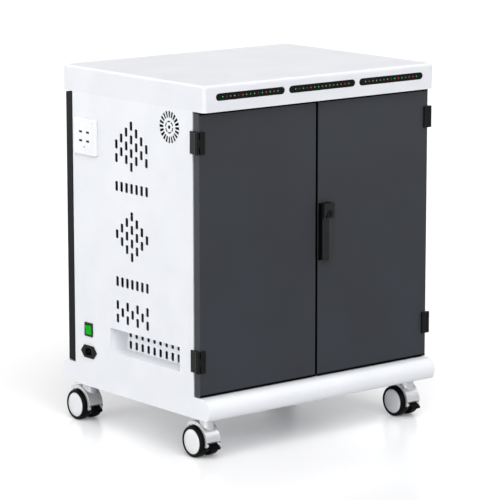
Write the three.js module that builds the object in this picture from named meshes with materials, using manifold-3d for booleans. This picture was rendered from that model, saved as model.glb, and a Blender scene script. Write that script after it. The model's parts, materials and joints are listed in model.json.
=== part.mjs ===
// Laptop charging cart: a two-tier steel cabinet on four twin-wheel casters.
// Millimetres, +Z up, front doors towards -Y, origin on the floor under the middle of the cart.
import * as THREE from 'three';
import { mergeVertices } from 'three/addons/utils/BufferGeometryUtils.js';
import Module from 'manifold-3d';

// General sheet and fits
const SHEET = 1.2;
const FIT_GAP = 0.3;
const DEG = Math.PI / 180;
const SLOT_TIP_SHARE = 0.15;

// Lid
const LID_WIDTH = 690;
const LID_DEPTH = 540;
const TOTAL_HEIGHT = 860;
const LID_HEIGHT = 61;
const LID_WALL = 3;
const LID_TOP_WALL = 4;
const LID_CORNER_RADIUS = 10;
const LID_EDGE_RADIUS = 8;

// Indicator windows in the lid's front skirt
const WINDOW_COUNT = 3;
const WINDOW_LENGTH = 199;
const WINDOW_HEIGHT = 17;
const WINDOW_PITCH = 211;
const WINDOW_BELOW_TOP = 28;
const WINDOW_RECESS = 0.6;
const WINDOW_CLEARANCE = 0.3;
const INDICATOR_BOARD_MARGIN = 6;
const INDICATOR_BOARD_THICKNESS = 3;

// Base with a bullnose at the front and rear
const BASE_HEIGHT = 50;
const BASE_LIP = 16;
const BASE_WALL = 2;
const BASE_NOSE_REACH = 25;
const BASE_TUCK = 13;
const BASE_HATCH_WIDTH = 440;
const BASE_HATCH_DEPTH = 300;

// Doors
const LID_FRONT_OVERHANG = 18;
const LID_REAR_OVERHANG = 12;
const DOOR_THICKNESS = 20;
const REAR_DOOR_THICKNESS = 25;
const DOOR_REVEAL = 3;
const DOOR_SEAM = 6;
const DOOR_SIDE_INSET = 0.7;
const DOOR_LIP = 25;
const DOOR_BEND_RADIUS = 2;

// Side panels and their punched vents
const PANEL_FLANGE = 5;
const VENT_COLUMNS = 7;
const VENT_COLUMN_PITCH = 19.2;
const VENT_ROW_PITCH = 31.8;
const VENT_WIDTH = 10.5;
const VENT_HEIGHT = 22;
const VENT_BAR_HEIGHT = 24;
// Heights of the patterns, as shares of the way from the pocket to the lid
const UPPER_DIAMOND_SHARE = 0.806;
const UPPER_BARS_SHARE = 0.626;
const MIDDLE_DIAMOND_SHARE = 0.419;
const LOWER_BARS_SHARE = 0.213;
const LOWER_STAGGER_SHARE = 0.081;

// Round fan grille and the fan behind it
const FAN_BELOW_LID = 44;
const FAN_FROM_PANEL_FRONT = 85;
const GRILLE_SPOKES = 20;
const GRILLE_INNER_RADIUS = 21.5;
const GRILLE_OUTER_RADIUS = 36.5;
const GRILLE_INNER_WIDTH = 4.8;
const GRILLE_OUTER_WIDTH = 7;
const GRILLE_RING_RADIUS = 13;
const GRILLE_RING_WIDTH = 2;
const GRILLE_RING_ARCS = 6;
const GRILLE_ARC_SPAN = 46;
const GRILLE_CENTRE_RADIUS = 3.8;
const FAN_SIZE = 80;
const FAN_DEPTH = 25;
const FAN_DUCT_RADIUS = 38;
const FAN_HUB_RADIUS = 14;
const FAN_STRUT = 4;
const FAN_BLADES = 7;
const FAN_BLADE_CHORD = 18;
const FAN_BLADE_THICKNESS = 1.6;
const FAN_BLADE_PITCH = 38;
const FAN_TIP_CLEARANCE = 1.6;

// Vented pocket in the lower left side
const POCKET_LENGTH = 266;
const POCKET_HEIGHT = 57.5;
const POCKET_DEPTH = 49;
const POCKET_ABOVE_BASE = 50;
const POCKET_FROM_PANEL_FRONT = 51;
const POCKET_FLANGE = 8;
const POCKET_SLOTS = 9;
const POCKET_SLOT_PITCH = 23.2;
const POCKET_SLOT_WIDTH = 10;
const POCKET_FIRST_SLOT = 8;
const POCKET_LOW_SLOT_HEIGHT = 20;
const POCKET_LOW_SLOT_RISE = 11.5;
const POCKET_HIGH_SLOT_HEIGHT = 11;
const POCKET_HIGH_SLOT_RISE = 35;

// Electrical fittings on the left side, above each other
const FITTINGS_FROM_PANEL_REAR = 57;
const SOCKET_BELOW_LID = 102;
const SOCKET_SIZE = 86;
const SOCKET_THICKNESS = 8.5;
const SOCKET_EDGE_RADIUS = 3;
const SOCKET_CORNER_RADIUS = 4;
const SOCKET_BOX_SIZE = 58;
const SOCKET_BOX_DEPTH = 24;
const SOCKET_SLOT_SPACING = 28;
const SOCKET_SLOT_WIDTH = 12;
const SOCKET_SLOT_HEIGHT = 5;
const SOCKET_SLOT_DEPTH = 6;
const SOCKET_UPPER_RISE = 12;
const SOCKET_LOWER_DROP = 9;
const SOCKET_EARTH_DROP = 23;
const SOCKET_EARTH_SIZE = 3.4;
const SWITCH_ABOVE_BASE = 89;
const SWITCH_WIDTH = 31;
const SWITCH_HEIGHT = 33;
const SWITCH_RIM = 2.4;
const SWITCH_WALL = 1;
const SWITCH_PROUD = 3;
const SWITCH_BODY_DEPTH = 26;
const ROCKER_TILT = 9;
const ROCKER_PROUD = 4;
const ROCKER_CLEARANCE = 0.8;
const ROCKER_DEPTH = 9;
const INLET_ABOVE_BASE = 35;
const INLET_LENGTH = 62;
const INLET_HEIGHT = 30;
const INLET_POINT = 13;
const INLET_FLANGE = 3;
const INLET_BODY_LENGTH = 30;
const INLET_BODY_HEIGHT = 23;
const INLET_BODY_DEPTH = 24;
const INLET_MOUTH_LENGTH = 24.5;
const INLET_MOUTH_HEIGHT = 17;
const INLET_MOUTH_CHAMFER = 5;
const INLET_MOUTH_DEPTH = 17;
const INLET_PIN_WIDTH = 2;
const INLET_PIN_HEIGHT = 5;
const INLET_PIN_SPACING = 7;
const INLET_PIN_LENGTH = 14;

// Shelves, partition and power strips inside
const POWER_BAY_DEPTH = 112;
const SHELF_CLEARANCE = 2;
const SHELF_FLANGE = 15;
const BAYS_PER_TIER = 12;
const DIVIDER_HEIGHT = 190;
const DIVIDER_FRONT_SETBACK = 25;
const DIVIDER_REAR_SETBACK = 12;
const DIVIDER_NOSE_RADIUS = 60;
const CABLE_SLOTS = 6;
const CABLE_SLOT_LENGTH = 80;
const CABLE_SLOT_HEIGHT = 22;
const CABLE_SLOT_ABOVE_SHELF = 40;
const STRIP_LENGTH = 560;
const STRIP_HEIGHT = 44;
const STRIP_DEPTH = 42;
const STRIP_CHAMFER = 6;
const STRIP_OUTLETS = 12;
const STRIP_OUTLET_SIZE = 32;
const STRIP_OUTLET_DEPTH = 3;
const STRIP_ABOVE_SHELF = 120;

// Hinges at the door corners
const HINGE_HEIGHT = 51;
const HINGE_FROM_DOOR_TOP = 66;
const HINGE_FROM_DOOR_BOTTOM = 81;
const HINGE_AXIS_OUT = 5.3;
const HINGE_AXIS_IN = 1;
const HINGE_KNUCKLE_RADIUS = 5.2;
const HINGE_PIN_RADIUS = 2.2;
const HINGE_LEAF = 3.7;
const HINGE_FRAME_LEAF = 3;
const HINGE_DOOR_COVER = 14;
const HINGE_SEAT = 6;
const HINGE_CLEARANCE = 0.5;
const PIN_CLEARANCE = 0.5;
const KNUCKLE_SIDES = 10;
const PIN_SIDES = 8;
const SHAFT_SIDES = 14;

// Handle, rod cam and locking rods on the right door
const HANDLE_WIDTH = 34;
const HANDLE_HEIGHT = 134;
const HANDLE_ABOVE_DOOR_MIDDLE = 18;
const HANDLE_FROM_SEAM = 6;
const HANDLE_PLATE = 5;
const HANDLE_PLATE_RADIUS = 5;
const LEVER_INSET = 1;
const LEVER_DEPTH = 11;
const LEVER_SHOULDER = 4;
const LEVER_RIDGE_OFFSET = -2.5;
const LEVER_HEAD_DROP = 36;
const LEVER_TIP_CHAMFER = 8;
const SPINDLE_FROM_TOP = 25;
const SPINDLE_RADIUS = 5;
const PLUG_RADIUS = 8;
const PLUG_LENGTH = 9;
const PLUG_PROUD = 1.5;
const KEYWAY_WIDTH = 2;
const KEYWAY_HEIGHT = 8;
const KEYWAY_DEPTH = 4;
const CAM_THICKNESS = 3;
const CAM_WIDTH = 14;
const CRANK_RADIUS = 14;
const CRANK_PIN_RADIUS = 2.4;
const CRANK_PIN_CLEARANCE = 0.9;
const ROD_WIDTH = 15;
const ROD_THICKNESS = 3;
const ROD_END = 7;
const ROD_SLOT_CLEARANCE = 0.6;

// Cam lock of the rear door
const REAR_LOCK_ABOVE_DOOR_MIDDLE = 17;
const REAR_LOCK_FROM_EDGE = 44;
const REAR_LOCK_FLANGE_RADIUS = 13;
const REAR_LOCK_FLANGE = 3;
const REAR_LOCK_BARREL_RADIUS = 8.5;
const REAR_LOCK_CAM_LENGTH = 34;
const REAR_LOCK_CAM_WIDTH = 14;
const REAR_LOCK_CAM_GAP = 1.2;

// Casters
const CASTER_HEIGHT = 97;
const CASTER_FROM_SIDE = 38;
const CASTER_FROM_BASE_END = 58;
const CASTER_TRAIL = 20;
const CASTER_PLATE_SIZE = 60;
const CASTER_PLATE_THICKNESS = 3;
const SWIVEL_PIN_RADIUS = 8;
const SWIVEL_PIN_LENGTH = 8;
const NECK_RADIUS = 17;
const WHEEL_RADIUS = 37.5;
const WHEEL_WIDTH = 23;
const WHEEL_SPACING = 12;
const WHEEL_SHOULDER = 4;
const WHEEL_SIDES = 18;
const WHEEL_CAP = 4;
const AXLE_RADIUS = 4;
const AXLE_BOSS_RADIUS = 10;
const HOOD_CLEARANCE = 1.3;
const HOOD_WALL = 8.5;
const HOOD_WIDTH = 39;
const HOOD_FRONT_ANGLE = -6;
const HOOD_LIP_ANGLE = 6;
const HOOD_REAR_ANGLE = 128;
const HOOD_WEB = 10;
const HOOD_STEPS = 12;
const HOOD_WEB_START = 2;
const PEDAL_WIDTH = 26;
const PEDAL_PIVOT_RADIUS = 4;
const PEDAL_PIN_RADIUS = 1.9;
const PEDAL_REACH = 14;
const PEDAL_DROP = 9;

// Sizes that follow from the ones above
const LID_BOTTOM = TOTAL_HEIGHT - LID_HEIGHT;
const LID_CEILING = TOTAL_HEIGHT - LID_TOP_WALL;
const LID_FRONT = -LID_DEPTH / 2;
const BASE_BOTTOM = CASTER_HEIGHT;
const BASE_TOP = BASE_BOTTOM + BASE_HEIGHT;
const BASE_REACH = LID_DEPTH / 2 + BASE_LIP;
const BODY_HALF = LID_WIDTH / 2;
const LID_INSIDE_HALF = LID_WIDTH / 2 - LID_WALL - FIT_GAP;
const DOOR_FRONT = LID_FRONT + LID_FRONT_OVERHANG;
const DOOR_BACK = DOOR_FRONT + DOOR_THICKNESS;
const REAR_FACE = LID_DEPTH / 2 - LID_REAR_OVERHANG;
const REAR_INNER = REAR_FACE - REAR_DOOR_THICKNESS;
const DOOR_TOP = LID_BOTTOM - DOOR_REVEAL;
const DOOR_BOTTOM = BASE_TOP + DOOR_REVEAL;
const DOOR_EDGE = BODY_HALF - DOOR_SIDE_INSET;
const PANEL_FRONT = DOOR_BACK + DOOR_REVEAL;
const PANEL_REAR = REAR_INNER - DOOR_REVEAL;
const PANEL_BOTTOM = BASE_TOP + FIT_GAP;
const PANEL_TOP = LID_BOTTOM - FIT_GAP;
const PANEL_CENTRE_Y = (PANEL_FRONT + PANEL_REAR) / 2;
const PANEL_INSIDE = BODY_HALF - SHEET;
const INSIDE_HALF = PANEL_INSIDE - FIT_GAP;
const BAY_FRONT = PANEL_FRONT + SHEET + FIT_GAP;
const PARTITION_Y = PANEL_REAR - POWER_BAY_DEPTH;
const BAY_REAR = PARTITION_Y - FIT_GAP;
const FITTINGS_Y = PANEL_REAR - FITTINGS_FROM_PANEL_REAR;
const FAN_Y = PANEL_FRONT + FAN_FROM_PANEL_FRONT;
const POCKET_FRONT = PANEL_FRONT + POCKET_FROM_PANEL_FRONT;
const POCKET_FLOOR_Z = BASE_TOP + POCKET_ABOVE_BASE;
const POCKET_CENTRE_Y = POCKET_FRONT + POCKET_LENGTH / 2;
const POCKET_TOP = POCKET_FLOOR_Z + POCKET_HEIGHT;
const VENT_SPAN = LID_BOTTOM - POCKET_TOP;
const UPPER_DIAMOND_Z = POCKET_TOP + UPPER_DIAMOND_SHARE * VENT_SPAN;
const UPPER_BARS_Z = POCKET_TOP + UPPER_BARS_SHARE * VENT_SPAN;
const MIDDLE_DIAMOND_Z = POCKET_TOP + MIDDLE_DIAMOND_SHARE * VENT_SPAN;
const LOWER_BARS_Z = POCKET_TOP + LOWER_BARS_SHARE * VENT_SPAN;
const LOWER_STAGGER_Z = POCKET_TOP + LOWER_STAGGER_SHARE * VENT_SPAN;
const FAN_Z = LID_BOTTOM - FAN_BELOW_LID;
const SOCKET_Z = LID_BOTTOM - SOCKET_BELOW_LID;
const SWITCH_Z = BASE_TOP + SWITCH_ABOVE_BASE;
const INLET_Z = BASE_TOP + INLET_ABOVE_BASE;
const LOWER_SHELF_Z = POCKET_TOP + POCKET_FLANGE + SHELF_CLEARANCE;
const TIER_HEIGHT = (LID_BOTTOM - LOWER_SHELF_Z) / 2;
const UPPER_SHELF_Z = LOWER_SHELF_Z + TIER_HEIGHT;
const WINDOW_Z = TOTAL_HEIGHT - WINDOW_BELOW_TOP;
const HINGE_X = BODY_HALF + HINGE_AXIS_OUT;
const DOOR_MIDDLE = (DOOR_TOP + DOOR_BOTTOM) / 2;
const HANDLE_CENTRE_Z = DOOR_MIDDLE + HANDLE_ABOVE_DOOR_MIDDLE;
const REAR_LOCK_Z = DOOR_MIDDLE + REAR_LOCK_ABOVE_DOOR_MIDDLE;
const HANDLE_X = DOOR_SEAM / 2 + HANDLE_FROM_SEAM + HANDLE_WIDTH / 2;
const HANDLE_TOP = HANDLE_CENTRE_Z + HANDLE_HEIGHT / 2;
const SPINDLE_Z = HANDLE_TOP - SPINDLE_FROM_TOP;
const LEVER_BACK = DOOR_FRONT - FIT_GAP - HANDLE_PLATE - FIT_GAP;
const ROD_BACK = DOOR_BACK - SHEET - FIT_GAP;
const ROD_FRONT = ROD_BACK - ROD_THICKNESS;
const CAM_BACK = ROD_FRONT - FIT_GAP;
const CAM_FRONT = CAM_BACK - CAM_THICKNESS;
const CRANK_RISE = CRANK_RADIUS * Math.SQRT1_2;
const REAR_LOCK_X = -DOOR_EDGE + REAR_LOCK_FROM_EDGE;
const WHEEL_CENTRE_Z = WHEEL_RADIUS * Math.cos(Math.PI / WHEEL_SIDES);
const HOOD_INNER_RADIUS = WHEEL_RADIUS + HOOD_CLEARANCE;
const HOOD_OUTER_RADIUS = HOOD_INNER_RADIUS + HOOD_WALL;
const CASTER_X = BODY_HALF - CASTER_FROM_SIDE;
const CASTER_Y = BASE_REACH - CASTER_FROM_BASE_END;

const wasm = await Module();
wasm.setup();

// Solids: a closed three.js geometry becomes a solid that can be joined and cut
function solidOf(geometry) {
  const bare = geometry.clone();
  bare.deleteAttribute('normal');
  bare.deleteAttribute('uv');
  const merged = mergeVertices(bare, 1e-4);
  return new wasm.Manifold(new wasm.Mesh({
    numProp: 3,
    vertProperties: new Float32Array(merged.attributes.position.array),
    triVerts: new Uint32Array(merged.index.array),
  }));
}

function joined(...solids) {
  return solids.reduce((whole, piece) => whole.add(piece));
}

function cut(body, ...tools) {
  return tools.reduce((rest, tool) => rest.subtract(tool), body);
}

function block(xs, ys, zs) {
  const low = new THREE.Vector3(Math.min(...xs), Math.min(...ys), Math.min(...zs));
  const high = new THREE.Vector3(Math.max(...xs), Math.max(...ys), Math.max(...zs));
  const size = high.clone().sub(low);
  const geometry = new THREE.BoxGeometry(size.x, size.y, size.z);
  geometry.translate((low.x + high.x) / 2, (low.y + high.y) / 2, (low.z + high.z) / 2);
  return solidOf(geometry);
}

// Plates: an outline drawn in the plane across an axis, given thickness along that axis
const ALONG_X = new THREE.Matrix4().makeBasis(
  new THREE.Vector3(0, 1, 0), new THREE.Vector3(0, 0, 1), new THREE.Vector3(1, 0, 0));
const ALONG_Y = new THREE.Matrix4().makeBasis(
  new THREE.Vector3(1, 0, 0), new THREE.Vector3(0, 0, 1), new THREE.Vector3(0, -1, 0));

function plate(outline, holes, thickness) {
  const shape = new THREE.Shape(outline);
  shape.holes = holes.map((points) => new THREE.Path(points));
  return new THREE.ExtrudeGeometry(shape, { depth: thickness, bevelEnabled: false });
}

function plateX(outline, [x0, x1], holes = []) {
  return solidOf(plate(outline, holes, x1 - x0).applyMatrix4(ALONG_X).translate(x0, 0, 0));
}

function plateY(outline, [y0, y1], holes = []) {
  return solidOf(plate(outline, holes, y1 - y0).applyMatrix4(ALONG_Y).translate(0, y1, 0));
}

function plateZ(outline, [z0, z1], holes = []) {
  return solidOf(plate(outline, holes, z1 - z0).translate(0, 0, z0));
}

// Outlines
function point(u, v) {
  return new THREE.Vector2(u, v);
}

function arc(u, v, radius, fromDeg, toDeg, steps) {
  const points = [];
  for (let i = 0; i <= steps; i += 1) {
    const angle = (fromDeg + (toDeg - fromDeg) * i / steps) * DEG;
    points.push(point(u + radius * Math.cos(angle), v + radius * Math.sin(angle)));
  }
  return points;
}

function circle(u, v, radius, sides) {
  return arc(u, v, radius, 180 / sides, 360 - 180 / sides, sides - 1);
}

function rectangle(u, v, width, height) {
  const [a, b] = [width / 2, height / 2];
  return [point(u - a, v - b), point(u + a, v - b), point(u + a, v + b), point(u - a, v + b)];
}

function roundedRectangle(u, v, width, height, radius, steps) {
  const [a, b] = [width / 2 - radius, height / 2 - radius];
  return [
    ...arc(u + a, v - b, radius, -90, 0, steps),
    ...arc(u + a, v + b, radius, 0, 90, steps),
    ...arc(u - a, v + b, radius, 90, 180, steps),
    ...arc(u - a, v - b, radius, 180, 270, steps),
  ];
}

function turned(points, u, v, degrees) {
  const centre = point(u, v);
  return points.map((p) => p.clone().rotateAround(centre, degrees * DEG));
}

// A punched slot: upright, with ends that narrow to a round-looking tip
function punchedSlot(u, v, width, height) {
  const [a, b] = [width / 2, height / 2];
  const shoulder = b - width * SLOT_TIP_SHARE;
  return [
    point(u, v - b), point(u + a, v - shoulder), point(u + a, v + shoulder),
    point(u, v + b), point(u - a, v + shoulder), point(u - a, v - shoulder),
  ];
}

function stadium(u, v, length, height, steps) {
  const straight = (length - height) / 2;
  return [
    ...arc(u + straight, v, height / 2, -90, 90, steps),
    ...arc(u - straight, v, height / 2, 90, 270, steps),
  ];
}

// The finished cart and its finishes
const cart = new THREE.Group();

function finish(colour, roughness, metalness) {
  return new THREE.MeshStandardMaterial({ color: colour, roughness, metalness });
}

const whitePowderCoat = () => finish('#eef0f4', 0.45, 0);
const whiteMoulding = () => finish('#e8eaee', 0.4, 0);
const greyPowderCoat = () => finish('#3c3f45', 0.5, 0);
const blackPlastic = () => finish('#222325', 0.5, 0);
const greyShelfPaint = () => finish('#b9bdc2', 0.5, 0);
const bareSteel = () => finish('#9a9da1', 0.35, 1);
const silverHood = () => finish('#b8bbc0', 0.35, 0.6);
const greenLens = () => finish('#13a538', 0.25, 0);
const tyreBlack = () => finish('#1b1b1d', 0.6, 0);

function geometryOf(solid) {
  const mesh = solid.getMesh();
  const geometry = new THREE.BufferGeometry();
  geometry.setAttribute('position', new THREE.BufferAttribute(mesh.vertProperties.slice(), 3));
  geometry.setIndex(new THREE.BufferAttribute(mesh.triVerts.slice(), 1));
  geometry.computeVertexNormals();
  return geometry;
}

function place(name, solid, material, group = cart) {
  const mesh = new THREE.Mesh(geometryOf(solid), material);
  mesh.name = name;
  group.add(mesh);
}

// Lid: a moulded cover with rounded edges, open below, with three indicator windows
function windowCentres() {
  return Array.from({ length: WINDOW_COUNT }, (_, i) => (i - (WINDOW_COUNT - 1) / 2) * WINDOW_PITCH);
}

function topCover() {
  const outline = roundedRectangle(0, 0, LID_WIDTH, LID_DEPTH, LID_CORNER_RADIUS, 4);
  const blank = new THREE.ExtrudeGeometry(new THREE.Shape(outline), {
    depth: LID_HEIGHT,
    bevelEnabled: true,
    bevelThickness: LID_EDGE_RADIUS,
    bevelSize: LID_EDGE_RADIUS,
    bevelOffset: -LID_EDGE_RADIUS,
    bevelSegments: 4,
  });
  blank.translate(0, 0, LID_BOTTOM - LID_EDGE_RADIUS);
  const below = block([-LID_WIDTH, LID_WIDTH], [-LID_DEPTH, LID_DEPTH],
    [LID_BOTTOM - 2 * LID_EDGE_RADIUS, LID_BOTTOM]);
  const hollow = plateZ(roundedRectangle(0, 0, LID_WIDTH - 2 * LID_WALL, LID_DEPTH - 2 * LID_WALL,
    LID_CORNER_RADIUS - LID_WALL, 3), [LID_BOTTOM - LID_WALL, LID_CEILING]);
  const windows = windowCentres().map((x) => plateY(
    stadium(x, WINDOW_Z, WINDOW_LENGTH, WINDOW_HEIGHT, 6), [LID_FRONT - LID_WALL, LID_FRONT + 2 * LID_WALL]));
  return cut(solidOf(blank), below, hollow, ...windows);
}

// Indicator bar: one board behind the skirt, with a dark lens in each window
function indicatorBar() {
  const boardFront = LID_FRONT + LID_WALL + FIT_GAP;
  const boardLength = (WINDOW_COUNT - 1) * WINDOW_PITCH + WINDOW_LENGTH + 2 * INDICATOR_BOARD_MARGIN;
  const boardHeight = WINDOW_HEIGHT + 2 * INDICATOR_BOARD_MARGIN;
  const board = plateY(rectangle(0, WINDOW_Z, boardLength, boardHeight),
    [boardFront, boardFront + INDICATOR_BOARD_THICKNESS]);
  const lenses = windowCentres().map((x) => plateY(
    stadium(x, WINDOW_Z, WINDOW_LENGTH - 2 * WINDOW_CLEARANCE, WINDOW_HEIGHT - 2 * WINDOW_CLEARANCE, 6),
    [LID_FRONT + WINDOW_RECESS, boardFront + INDICATOR_BOARD_THICKNESS / 2]));
  return joined(board, ...lenses);
}

// Base: a hollow plinth whose front and rear are bullnoses that tuck in below
function baseOutline(inset) {
  const nose = BASE_NOSE_REACH - inset;
  const reach = BASE_REACH - inset;
  const middle = BASE_BOTTOM + BASE_HEIGHT / 2;
  const rise = BASE_HEIGHT / 2 - inset;
  const tuck = Math.max(BASE_TUCK - inset, 1);
  const upper = arc(0, 0, 1, 0, 90, 6).map((p) => point(reach - nose + nose * p.x, middle + rise * p.y));
  const lower = arc(0, 0, 1, -90, 0, 5).map((p) => point(reach - tuck + tuck * p.x, middle + rise * p.y));
  const rear = [...lower.slice(0, -1), ...upper];
  const front = rear.map((p) => point(-p.x, p.y)).reverse();
  return [...rear, ...front];
}

function baseTray() {
  const outside = plateX(baseOutline(0), [-BODY_HALF, BODY_HALF]);
  const inside = plateX(baseOutline(BASE_WALL), [-BODY_HALF + BASE_WALL, BODY_HALF - BASE_WALL]);
  const hatch = plateZ(roundedRectangle(0, 0, BASE_HATCH_WIDTH, BASE_HATCH_DEPTH, 20, 3),
    [BASE_BOTTOM - BASE_WALL, BASE_BOTTOM + 2 * BASE_WALL]);
  return cut(outside, inside, hatch);
}

// Vent patterns, drawn in the side panel's plane. A column lists its slots in row pitches from the
// middle of the pattern, upwards.
function diamondRows(column) {
  const reach = (VENT_COLUMNS - 1) / 2 - Math.abs(column);
  return Array.from({ length: reach + 1 }, (_, i) => i - reach / 2);
}

function staggerRows(column) {
  return Math.abs(column) % 2 === 1 ? [-0.5, 0.5] : [0];
}

function ventColumns() {
  return Array.from({ length: VENT_COLUMNS }, (_, i) => i - (VENT_COLUMNS - 1) / 2);
}

function ventHoles() {
  const holes = [];
  const punch = (column, z, height) => {
    const y = PANEL_CENTRE_Y + column * VENT_COLUMN_PITCH;
    holes.push(punchedSlot(y, z, VENT_WIDTH, height));
  };
  for (const column of ventColumns()) {
    const outer = Math.abs(column) === (VENT_COLUMNS - 1) / 2;
    const upperRows = outer ? [0, -1] : diamondRows(column);
    upperRows.forEach((row) => punch(column, UPPER_DIAMOND_Z + row * VENT_ROW_PITCH, VENT_HEIGHT));
    punch(column, UPPER_BARS_Z, VENT_BAR_HEIGHT);
    diamondRows(column).forEach((row) => {
      punch(column, MIDDLE_DIAMOND_Z + row * VENT_ROW_PITCH, VENT_HEIGHT);
    });
    punch(column, LOWER_BARS_Z, VENT_BAR_HEIGHT);
    staggerRows(column).forEach((row) => {
      punch(column, LOWER_STAGGER_Z + row * VENT_ROW_PITCH, VENT_HEIGHT);
    });
  }
  return holes;
}

// Round grille: radial slots round a broken ring and a centre hole
function grilleHoles() {
  const [a, b] = [GRILLE_INNER_WIDTH / 2, GRILLE_OUTER_WIDTH / 2];
  const [low, high] = [FAN_Z + GRILLE_INNER_RADIUS, FAN_Z + GRILLE_OUTER_RADIUS];
  const spoke = [
    point(FAN_Y - a, low), point(FAN_Y + a, low), point(FAN_Y + b, high), point(FAN_Y - b, high),
  ];
  const spokes = Array.from({ length: GRILLE_SPOKES }, (_, i) => (
    turned(spoke, FAN_Y, FAN_Z, i * 360 / GRILLE_SPOKES)));
  const half = GRILLE_RING_WIDTH / 2;
  const arcs = Array.from({ length: GRILLE_RING_ARCS }, (_, i) => {
    const start = i * 360 / GRILLE_RING_ARCS;
    return [
      ...arc(FAN_Y, FAN_Z, GRILLE_RING_RADIUS + half, start, start + GRILLE_ARC_SPAN, 2),
      ...arc(FAN_Y, FAN_Z, GRILLE_RING_RADIUS - half, start + GRILLE_ARC_SPAN, start, 2),
    ];
  });
  return [...spokes, ...arcs, circle(FAN_Y, FAN_Z, GRILLE_CENTRE_RADIUS, 10)];
}

// Openings that only the left panel has: pocket, socket, switch and inlet
function fittingHoles() {
  return [
    rectangle(POCKET_CENTRE_Y, (POCKET_FLOOR_Z + POCKET_TOP) / 2, POCKET_LENGTH, POCKET_HEIGHT),
    rectangle(FITTINGS_Y, SOCKET_Z, SOCKET_BOX_SIZE + 2 * FIT_GAP, SOCKET_BOX_SIZE + 2 * FIT_GAP),
    rectangle(FITTINGS_Y, SWITCH_Z, SWITCH_WIDTH - 2 * SWITCH_RIM, SWITCH_HEIGHT - 2 * SWITCH_RIM),
    rectangle(FITTINGS_Y, INLET_Z, INLET_BODY_LENGTH + 2 * FIT_GAP, INLET_BODY_HEIGHT + 2 * FIT_GAP),
  ];
}

// Side panel: a punched sheet with an inward flange all round. side is -1 for left, 1 for right.
function sidePanel(side, holes) {
  const length = PANEL_REAR - PANEL_FRONT;
  const height = PANEL_TOP - PANEL_BOTTOM;
  const middle = (PANEL_TOP + PANEL_BOTTOM) / 2;
  const sheetFrom = Math.min(side * BODY_HALF, side * PANEL_INSIDE);
  const sheet = plateX(rectangle(PANEL_CENTRE_Y, middle, length, height),
    [sheetFrom, sheetFrom + SHEET], holes);
  const flangeFrom = Math.min(side * BODY_HALF, side * (BODY_HALF - PANEL_FLANGE));
  const frame = plateX(rectangle(PANEL_CENTRE_Y, middle, length, height),
    [flangeFrom, flangeFrom + PANEL_FLANGE],
    [rectangle(PANEL_CENTRE_Y, middle, length - 2 * SHEET, height - 2 * SHEET)]);
  return joined(sheet, frame);
}

// Pocket: a folded box set into the left side, flanged behind the panel, with a vented back
function ventPocket() {
  const mouth = -PANEL_INSIDE + FIT_GAP;
  const back = mouth + POCKET_DEPTH;
  const middle = (POCKET_FLOOR_Z + POCKET_TOP) / 2;
  const opening = rectangle(POCKET_CENTRE_Y, middle, POCKET_LENGTH, POCKET_HEIGHT);
  const skin = rectangle(POCKET_CENTRE_Y, middle, POCKET_LENGTH + 2 * SHEET, POCKET_HEIGHT + 2 * SHEET);
  const rim = rectangle(POCKET_CENTRE_Y, middle, POCKET_LENGTH + 2 * POCKET_FLANGE,
    POCKET_HEIGHT + 2 * POCKET_FLANGE);
  const rear = POCKET_FRONT + POCKET_LENGTH;
  const slots = [];
  for (let i = 0; i < POCKET_SLOTS; i += 1) {
    const y = rear - POCKET_FIRST_SLOT - POCKET_SLOT_WIDTH / 2 - i * POCKET_SLOT_PITCH;
    slots.push(punchedSlot(y, POCKET_FLOOR_Z + POCKET_LOW_SLOT_RISE, POCKET_SLOT_WIDTH,
      POCKET_LOW_SLOT_HEIGHT));
    slots.push(punchedSlot(y, POCKET_FLOOR_Z + POCKET_HIGH_SLOT_RISE, POCKET_SLOT_WIDTH,
      POCKET_HIGH_SLOT_HEIGHT));
  }
  return joined(
    plateX(rim, [mouth, mouth + SHEET], [opening]),
    plateX(skin, [mouth, back], [opening]),
    plateX(skin, [back - SHEET, back], slots));
}

// Ceiling under the lid, turned up at the front and rear where it carries the lid's frame
function ceilingPan() {
  const front = BAY_FRONT;
  const rear = PANEL_REAR - SHEET - FIT_GAP;
  const rise = LID_CEILING - FIT_GAP;
  const profile = [
    point(front, LID_BOTTOM), point(rear, LID_BOTTOM), point(rear, rise), point(rear - SHEET, rise),
    point(rear - SHEET, LID_BOTTOM + SHEET), point(front + SHEET, LID_BOTTOM + SHEET),
    point(front + SHEET, rise), point(front, rise),
  ];
  return plateX(profile, [-LID_INSIDE_HALF, LID_INSIDE_HALF]);
}

// Partition between the laptop bays and the power bay, with slots for the charging leads
function partitionWall() {
  const bottom = PANEL_BOTTOM + SHEET + FIT_GAP;
  const top = PANEL_TOP - SHEET - FIT_GAP;
  const pitch = 2 * INSIDE_HALF / CABLE_SLOTS;
  const slots = [];
  for (const shelf of [LOWER_SHELF_Z, UPPER_SHELF_Z]) {
    for (let i = 0; i < CABLE_SLOTS; i += 1) {
      const x = -INSIDE_HALF + (i + 0.5) * pitch;
      slots.push(stadium(x, shelf + CABLE_SLOT_ABOVE_SHELF, CABLE_SLOT_LENGTH, CABLE_SLOT_HEIGHT, 2));
    }
  }
  return plateY(rectangle(0, (bottom + top) / 2, 2 * INSIDE_HALF, top - bottom),
    [PARTITION_Y, PARTITION_Y + SHEET], slots);
}

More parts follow.
